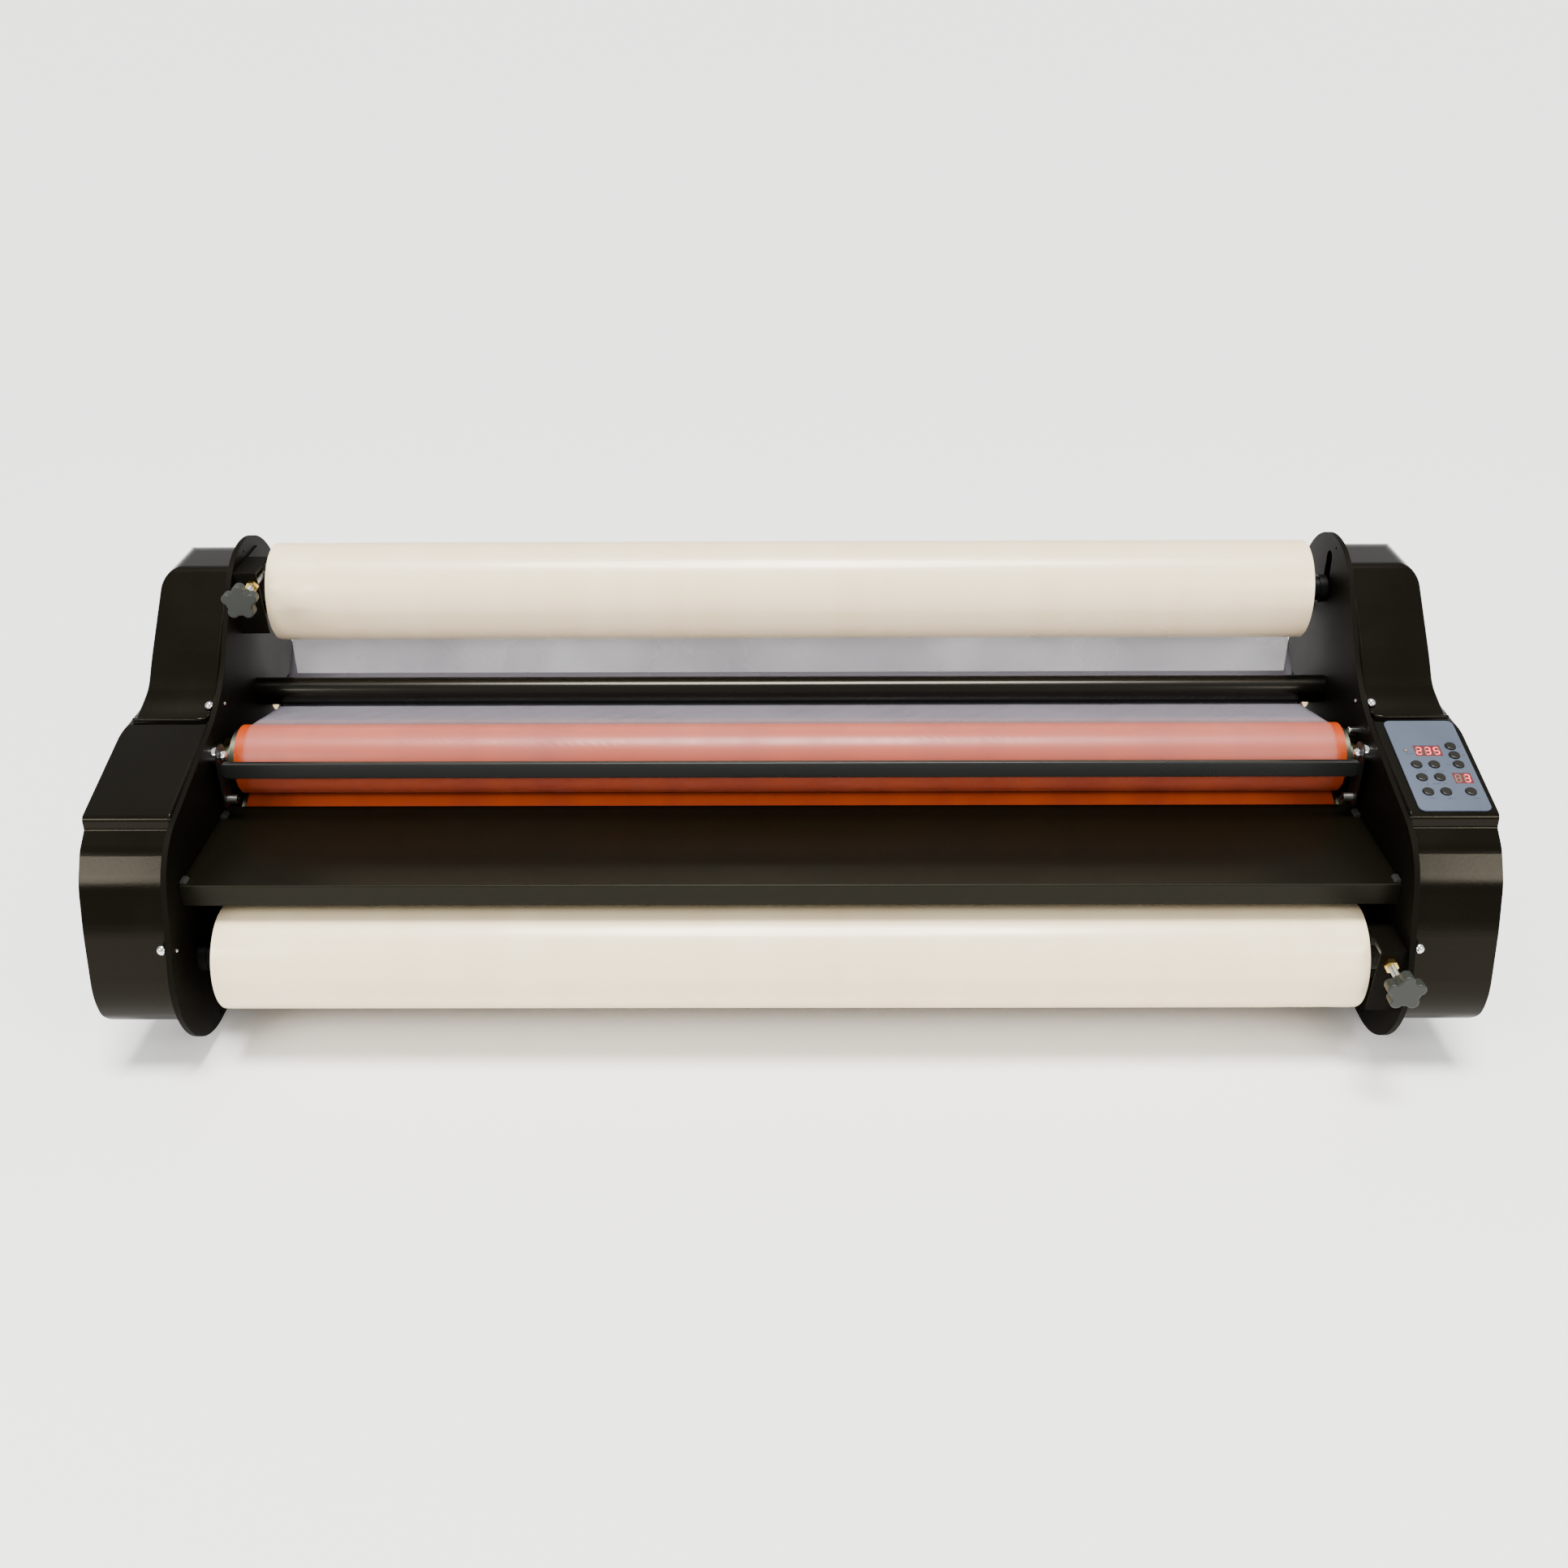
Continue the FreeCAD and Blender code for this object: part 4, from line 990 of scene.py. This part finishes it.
# ---- the rest of the CAD pieces ----------------------------------------------
@dataclass
class Chassis:
    """Plates, covers, table, guard, rollers and drive: CAD pieces whose shape is already right."""

    def build(self) -> None:
        """Give each its finish."""
        dress(Finish.SHELL, "left_side_cover", "right_side_cover")
        dress(Finish.PLATE, "left_side_plate", "right_side_plate", "base_pan", "rear_panel", "brake_brackets")
        dress(Finish.TABLE, "feed_table")
        dress(Finish.GUARD, "guard_bar")
        dress(Finish.EAR, "guard_ears")
        dress(Finish.IDLER, "upper_idler_bar", "lower_idler_bar")
        dress(Finish.SILICONE, "upper_roller_sleeve", "lower_roller_sleeve")
        dress(Finish.HUB, "upper_heat_roller", "lower_heat_roller", "heater_rods")
        dress(Finish.STEEL, "cross_rods", "frame_screws")
        dress(Finish.CHROME, "cover_screws", "guard_pins")
        dress(Finish.CLIP, "table_clips")
        dress(Finish.BRASS, "brass_nuts", "roller_bushes")
        dress(Finish.GEAR, "upper_roller_gear", "lower_roller_gear", "motor_sprocket", "drive_chain")
        dress(Finish.RUBBER, "rubber_feet", "upper_pull_roller", "lower_pull_roller")
        dress(Finish.FELT, "brake_bands")
        dress(Finish.MOTOR, "drive_motor")
        dress(Finish.SOCKET, "power_inlet", "power_switch")


# ---- thread ridges -----------------------------------------------------------
@dataclass
class ThreadRidges:
    """Ridges of the thread on a rod along Y, set out by Geometry Nodes."""

    node: str
    body: str
    pitch: float = 1.0 * MM
    ridge: float = 0.22 * MM
    margin: float = 1.5 * MM

    def tree(self) -> bpy.types.NodeTree:
        """The node tree: a line of points, a ring on each, then real meshes with a finish."""
        tree = bpy.data.node_groups.new("thread_ridges", "GeometryNodeTree")
        tree.interface.new_socket(name="Geometry", in_out="OUTPUT", socket_type="NodeSocketGeometry")
        for name, kind in (("Count", "NodeSocketInt"), ("Pitch", "NodeSocketFloat"),
                           ("Rod Radius", "NodeSocketFloat"),
                           ("Ridge Radius", "NodeSocketFloat"), ("Start", "NodeSocketVector")):
            tree.interface.new_socket(name=name, in_out="INPUT", socket_type=kind)
        make, link = tree.nodes.new, tree.links.new
        given, out = make("NodeGroupInput"), make("NodeGroupOutput")
        offset = make("ShaderNodeCombineXYZ")
        link(given.outputs["Pitch"], offset.inputs["Y"])
        line = make("GeometryNodeMeshLine")
        line.mode = "OFFSET"
        link(given.outputs["Count"], line.inputs["Count"])
        link(given.outputs["Start"], line.inputs["Start Location"])
        link(offset.outputs[0], line.inputs["Offset"])
        hoop, section = make("GeometryNodeCurvePrimitiveCircle"), make("GeometryNodeCurvePrimitiveCircle")
        hoop.inputs["Resolution"].default_value = 32
        section.inputs["Resolution"].default_value = 6
        link(given.outputs["Rod Radius"], hoop.inputs["Radius"])
        link(given.outputs["Ridge Radius"], section.inputs["Radius"])
        ring = make("GeometryNodeCurveToMesh")
        link(hoop.outputs["Curve"], ring.inputs["Curve"])
        link(section.outputs["Curve"], ring.inputs["Profile Curve"])
        copies = make("GeometryNodeInstanceOnPoints")
        copies.inputs["Rotation"].default_value = (math.pi / 2, 0.0, 0.0)
        link(line.outputs[0], copies.inputs["Points"])
        link(ring.outputs[0], copies.inputs["Instance"])
        real, coat = make("GeometryNodeRealizeInstances"), make("GeometryNodeSetMaterial")
        coat.inputs["Material"].default_value = material(Finish.STEEL)
        link(copies.outputs[0], real.inputs[0])
        link(real.outputs[0], coat.inputs["Geometry"])
        link(coat.outputs[0], out.inputs[0])
        return tree

    def build(self) -> None:
        """Evaluate the tree and keep its result as a plain mesh on the rod's body."""
        low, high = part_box(self.node)
        radius = (high.x - low.x) / 2
        sizes = {"Count": int((high.y - low.y - 2 * self.margin) / self.pitch) + 1, "Pitch": self.pitch,
                 "Rod Radius": radius, "Ridge Radius": self.ridge,
                 "Start": ((low.x + high.x) / 2, low.y + self.margin, (low.z + high.z) / 2)}
        name = self.node + "_thread"
        carrier = bpy.data.objects.new(name + "_carrier", bpy.data.meshes.new(name + "_carrier"))
        bpy.context.scene.collection.objects.link(carrier)
        modifier = carrier.modifiers.new("ridges", "NODES")
        modifier.node_group = self.tree()
        for item in modifier.node_group.interface.items_tree:
            if item.in_out == "INPUT":
                modifier[item.identifier] = sizes[item.name]
        evaluated = carrier.evaluated_get(bpy.context.evaluated_depsgraph_get())
        mesh = bpy.data.meshes.new_from_object(evaluated)
        carrier.modifiers.remove(modifier)
        bpy.data.objects.remove(carrier)
        mesh.name = name
        piece = bpy.data.objects.new(name, mesh)
        bpy.context.scene.collection.objects.link(piece)
        outward(piece)
        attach(piece, self.body)
        log.info("made %s: %d faces on %s", name, len(mesh.polygons), self.body)


# ---- small trim --------------------------------------------------------------
@dataclass
class Trim:
    """Rolled edges and lips of the covers and the sleeves on the guard's pins."""

    edge_radius: float = 1.3 * MM
    edge_inset: float = 1.5 * MM
    edge_sink: float = 0.45
    edge_turn: float = 296
    edge_steps: int = 240
    outside: float = 0.6
    lip_radius: float = 1.9 * MM
    lip_bend: float = 10.0 * MM
    lip_steps: int = 24
    bend_steps: int = 10
    lip_gap: float = 5.5 * MM
    lip_lift: float = 1.2 * MM
    lip_end: float = 1.0 * MM
    lip_inboard: float = 7.0 * MM
    lip_short: float = 3.0 * MM
    sleeve_wall: float = 0.6 * MM
    sleeve_bore: float = 3.35 * MM
    sleeve_behind: float = 2.5 * MM
    sleeve_height: float = 7.9 * MM
    sleeve_from: float = 11.6 * MM
    sleeve_to: float = 2.4 * MM

    def cover_tree(self, node: str) -> BVHTree:
        """Search tree of a CAD cover in the row frame."""
        cover = frame["nodes"][node]
        place = cover.matrix_world
        verts = [place @ v.co for v in cover.data.vertices]
        return BVHTree.FromPolygons(verts, [tuple(p.vertices) for p in cover.data.polygons])

    def rolled_edge(self, side: int, node: str) -> None:
        """Run a bead along the cover's rim where it meets its plate.

        Args:
            side: 1 on the right, -1 on the left.
            node: The cover.
        """
        tree = self.cover_tree(node)
        low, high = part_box(node)
        x = (low.x if side > 0 else high.x) + side * self.edge_inset
        middle = Vector((x, (low.y + high.y) / 2, (low.z + high.z) / 2))
        path: list[Vector] = []
        for k in range(self.edge_steps + 1):
            angle = math.radians(-self.edge_turn / 2 + k * self.edge_turn / self.edge_steps)
            ray = Vector((0.0, -math.cos(angle), math.sin(angle)))
            hit = tree.ray_cast(middle + ray * self.outside, -ray)[0]
            if hit is not None:
                path.append(hit - ray * self.edge_radius * self.edge_sink)
        name = "rolled_edge_right" if side > 0 else "rolled_edge_left"
        piece = new_piece(name, *tube(path, self.edge_radius), Finish.SHELL, "frame")
        outward(piece)

    def lip(self, side: int) -> None:
        """Lay the lip behind the pod: along its rear edge, then round to the screw by the plate."""
        low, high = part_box("panel_overlay")
        screw_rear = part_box("cover_screws")[1].y
        rear = high.y + self.lip_gap
        height = high.z + self.lip_lift
        outer = side * (high.x - self.lip_end)
        inner = side * (low.x - self.lip_inboard)
        run = inner + side * self.lip_bend - outer
        path = [Vector((outer + run * k / self.lip_steps, rear, height)) for k in range(self.lip_steps + 1)]
        centre = Vector((inner + side * self.lip_bend, rear + self.lip_bend, height))
        for k in range(1, self.bend_steps + 1):
            angle = math.pi / 2 * k / self.bend_steps
            path.append(centre + Vector((-side * math.sin(angle), -math.cos(angle), 0.0)) * self.lip_bend)
        path.append(Vector((inner, screw_rear - self.lip_short, height + self.lip_end)))
        name = "cover_lip_right" if side > 0 else "cover_lip_left"
        outward(new_piece(name, *tube(path, self.lip_radius), Finish.SHELL, "frame"))

    def pin_sleeves(self) -> None:
        """Slip a steel sleeve on the lower pin of each guard ear."""
        low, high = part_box("guard_ears")
        bar_low, bar_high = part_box("guard_bar")
        y, z = (bar_low.y + bar_high.y) / 2 + self.sleeve_behind, low.z + self.sleeve_height
        inner, outer = self.sleeve_bore, self.sleeve_bore + self.sleeve_wall
        for side, name in ((1, "pin_sleeve_right"), (-1, "pin_sleeve_left")):
            start = side * (high.x - self.sleeve_from)
            end = side * (high.x - self.sleeve_to)
            profile = [(start, inner), (start, outer), (end, outer), (end, inner)]
            outward(new_piece(name, *turned(profile, y, z), Finish.STEEL, "guard", False))

    def build(self) -> None:
        """Make all the trim."""
        for side, node in ((1, "right_side_cover"), (-1, "left_side_cover")):
            self.rolled_edge(side, node)
            self.lip(side)
        self.pin_sleeves()


# ---- studio ------------------------------------------------------------------
@dataclass
class Studio:
    """Pale floor, soft light and the camera."""

    floor_half: float = 40.0
    sky: float = 0.9
    overhead: float = 7.0
    overhead_spread: float = 0.35
    lens: float = 36.634
    eye: Colour = (0.0048, -1.3475, 0.93665)
    pitch: float = 0.504444
    yaw: float = -0.007239
    roll: float = -0.005588

    def floor(self) -> None:
        """Lay the floor."""
        h = self.floor_half
        mesh = bpy.data.meshes.new("studio_floor")
        mesh.from_pydata([(-h, -h, 0), (h, -h, 0), (h, h, 0), (-h, h, 0)], [], [(0, 1, 2, 3)])
        s = Shader("studio_floor")
        mesh.materials.append(s.finish({"Base Color": (0.93, 0.93, 0.93), "Roughness": 0.9}))
        floor = bpy.data.objects.new("studio_floor", mesh)
        bpy.context.scene.collection.objects.link(floor)

    def lamp(self, name: str, place: Colour, aim: Colour, size: Place, power: float, tint: Colour) -> None:
        """Hang one soft box.

        Args:
            name: The lamp's name.
            place: Where it hangs.
            aim: What it points at.
            size: Width and height.
            power: Watts.
            tint: Colour of its light.
        """
        light = bpy.data.lights.new(name, "AREA")
        light.shape = "RECTANGLE"
        light.size, light.size_y = size
        light.energy = power
        light.color = tint
        lamp = bpy.data.objects.new(name, light)
        lamp.location = place
        lamp.rotation_euler = (Vector(aim) - Vector(place)).to_track_quat("-Z", "Y").to_euler()
        bpy.context.scene.collection.objects.link(lamp)

    def light(self) -> None:
        """Set the sky and the soft boxes."""
        world = bpy.data.worlds.new("studio_sky")
        bpy.context.scene.world = world
        world.use_nodes = True
        sky = world.node_tree.nodes["Background"]
        sky.inputs[0].default_value = (1.0, 0.995, 0.985, 1.0)
        sky.inputs[1].default_value = self.sky
        overhead = bpy.data.lights.new("overhead", "SUN")
        overhead.energy = self.overhead
        overhead.angle = self.overhead_spread
        overhead.color = (1.0, 0.985, 0.955)
        lamp = bpy.data.objects.new("overhead", overhead)
        lamp.rotation_euler = (math.radians(5), 0.0, 0.0)
        bpy.context.scene.collection.objects.link(lamp)
        self.lamp("left_box", (-1.75, -1.75, 1.55), (0.0, 0.0, 0.2), (0.9, 0.7), 42.0, (1.0, 0.985, 0.95))
        self.lamp("right_box", (1.75, -1.75, 1.55), (0.0, 0.0, 0.2), (0.9, 0.7), 36.0, (1.0, 0.985, 0.95))

    def camera(self) -> None:
        """Place the camera."""
        camera = bpy.data.cameras.new("camera")
        camera.lens = self.lens
        camera.sensor_width = 36.0
        camera.clip_end = 200.0
        eye = bpy.data.objects.new("camera", camera)
        cos, sin = math.cos, math.sin
        forward = Vector((sin(self.yaw) * cos(self.pitch), cos(self.yaw) * cos(self.pitch), -sin(self.pitch)))
        right = Vector((cos(self.yaw), -sin(self.yaw), 0.0))
        up = right.cross(forward)
        level = right * cos(self.roll) + up * sin(self.roll)
        rise = up * cos(self.roll) - right * sin(self.roll)
        turn = Matrix((level, rise, -forward)).transposed().to_4x4()
        eye.matrix_world = Matrix.Translation(self.eye) @ turn
        bpy.context.scene.collection.objects.link(eye)
        bpy.context.scene.camera = eye

    def build(self) -> None:
        """Set up the studio."""
        self.floor()
        self.light()
        self.camera()


def main() -> None:
    """Build the studio and every sub-assembly in order."""
    logging.basicConfig(level=logging.INFO, format="%(message)s")
    Studio().build()
    Chassis().build()
    SupplyRoll("upper", "upper_supply", -0.475, 1.0).build()
    SupplyRoll("lower", "lower_supply", 0.485, 5.0).build()
    FilmWebs().build()
    Keypad().build()
    ThreadRidges("upper_tension_rod", "upper_knob").build()
    ThreadRidges("lower_tension_rod", "lower_knob").build()
    Trim().build()


if __name__ == "__main__":
    main()
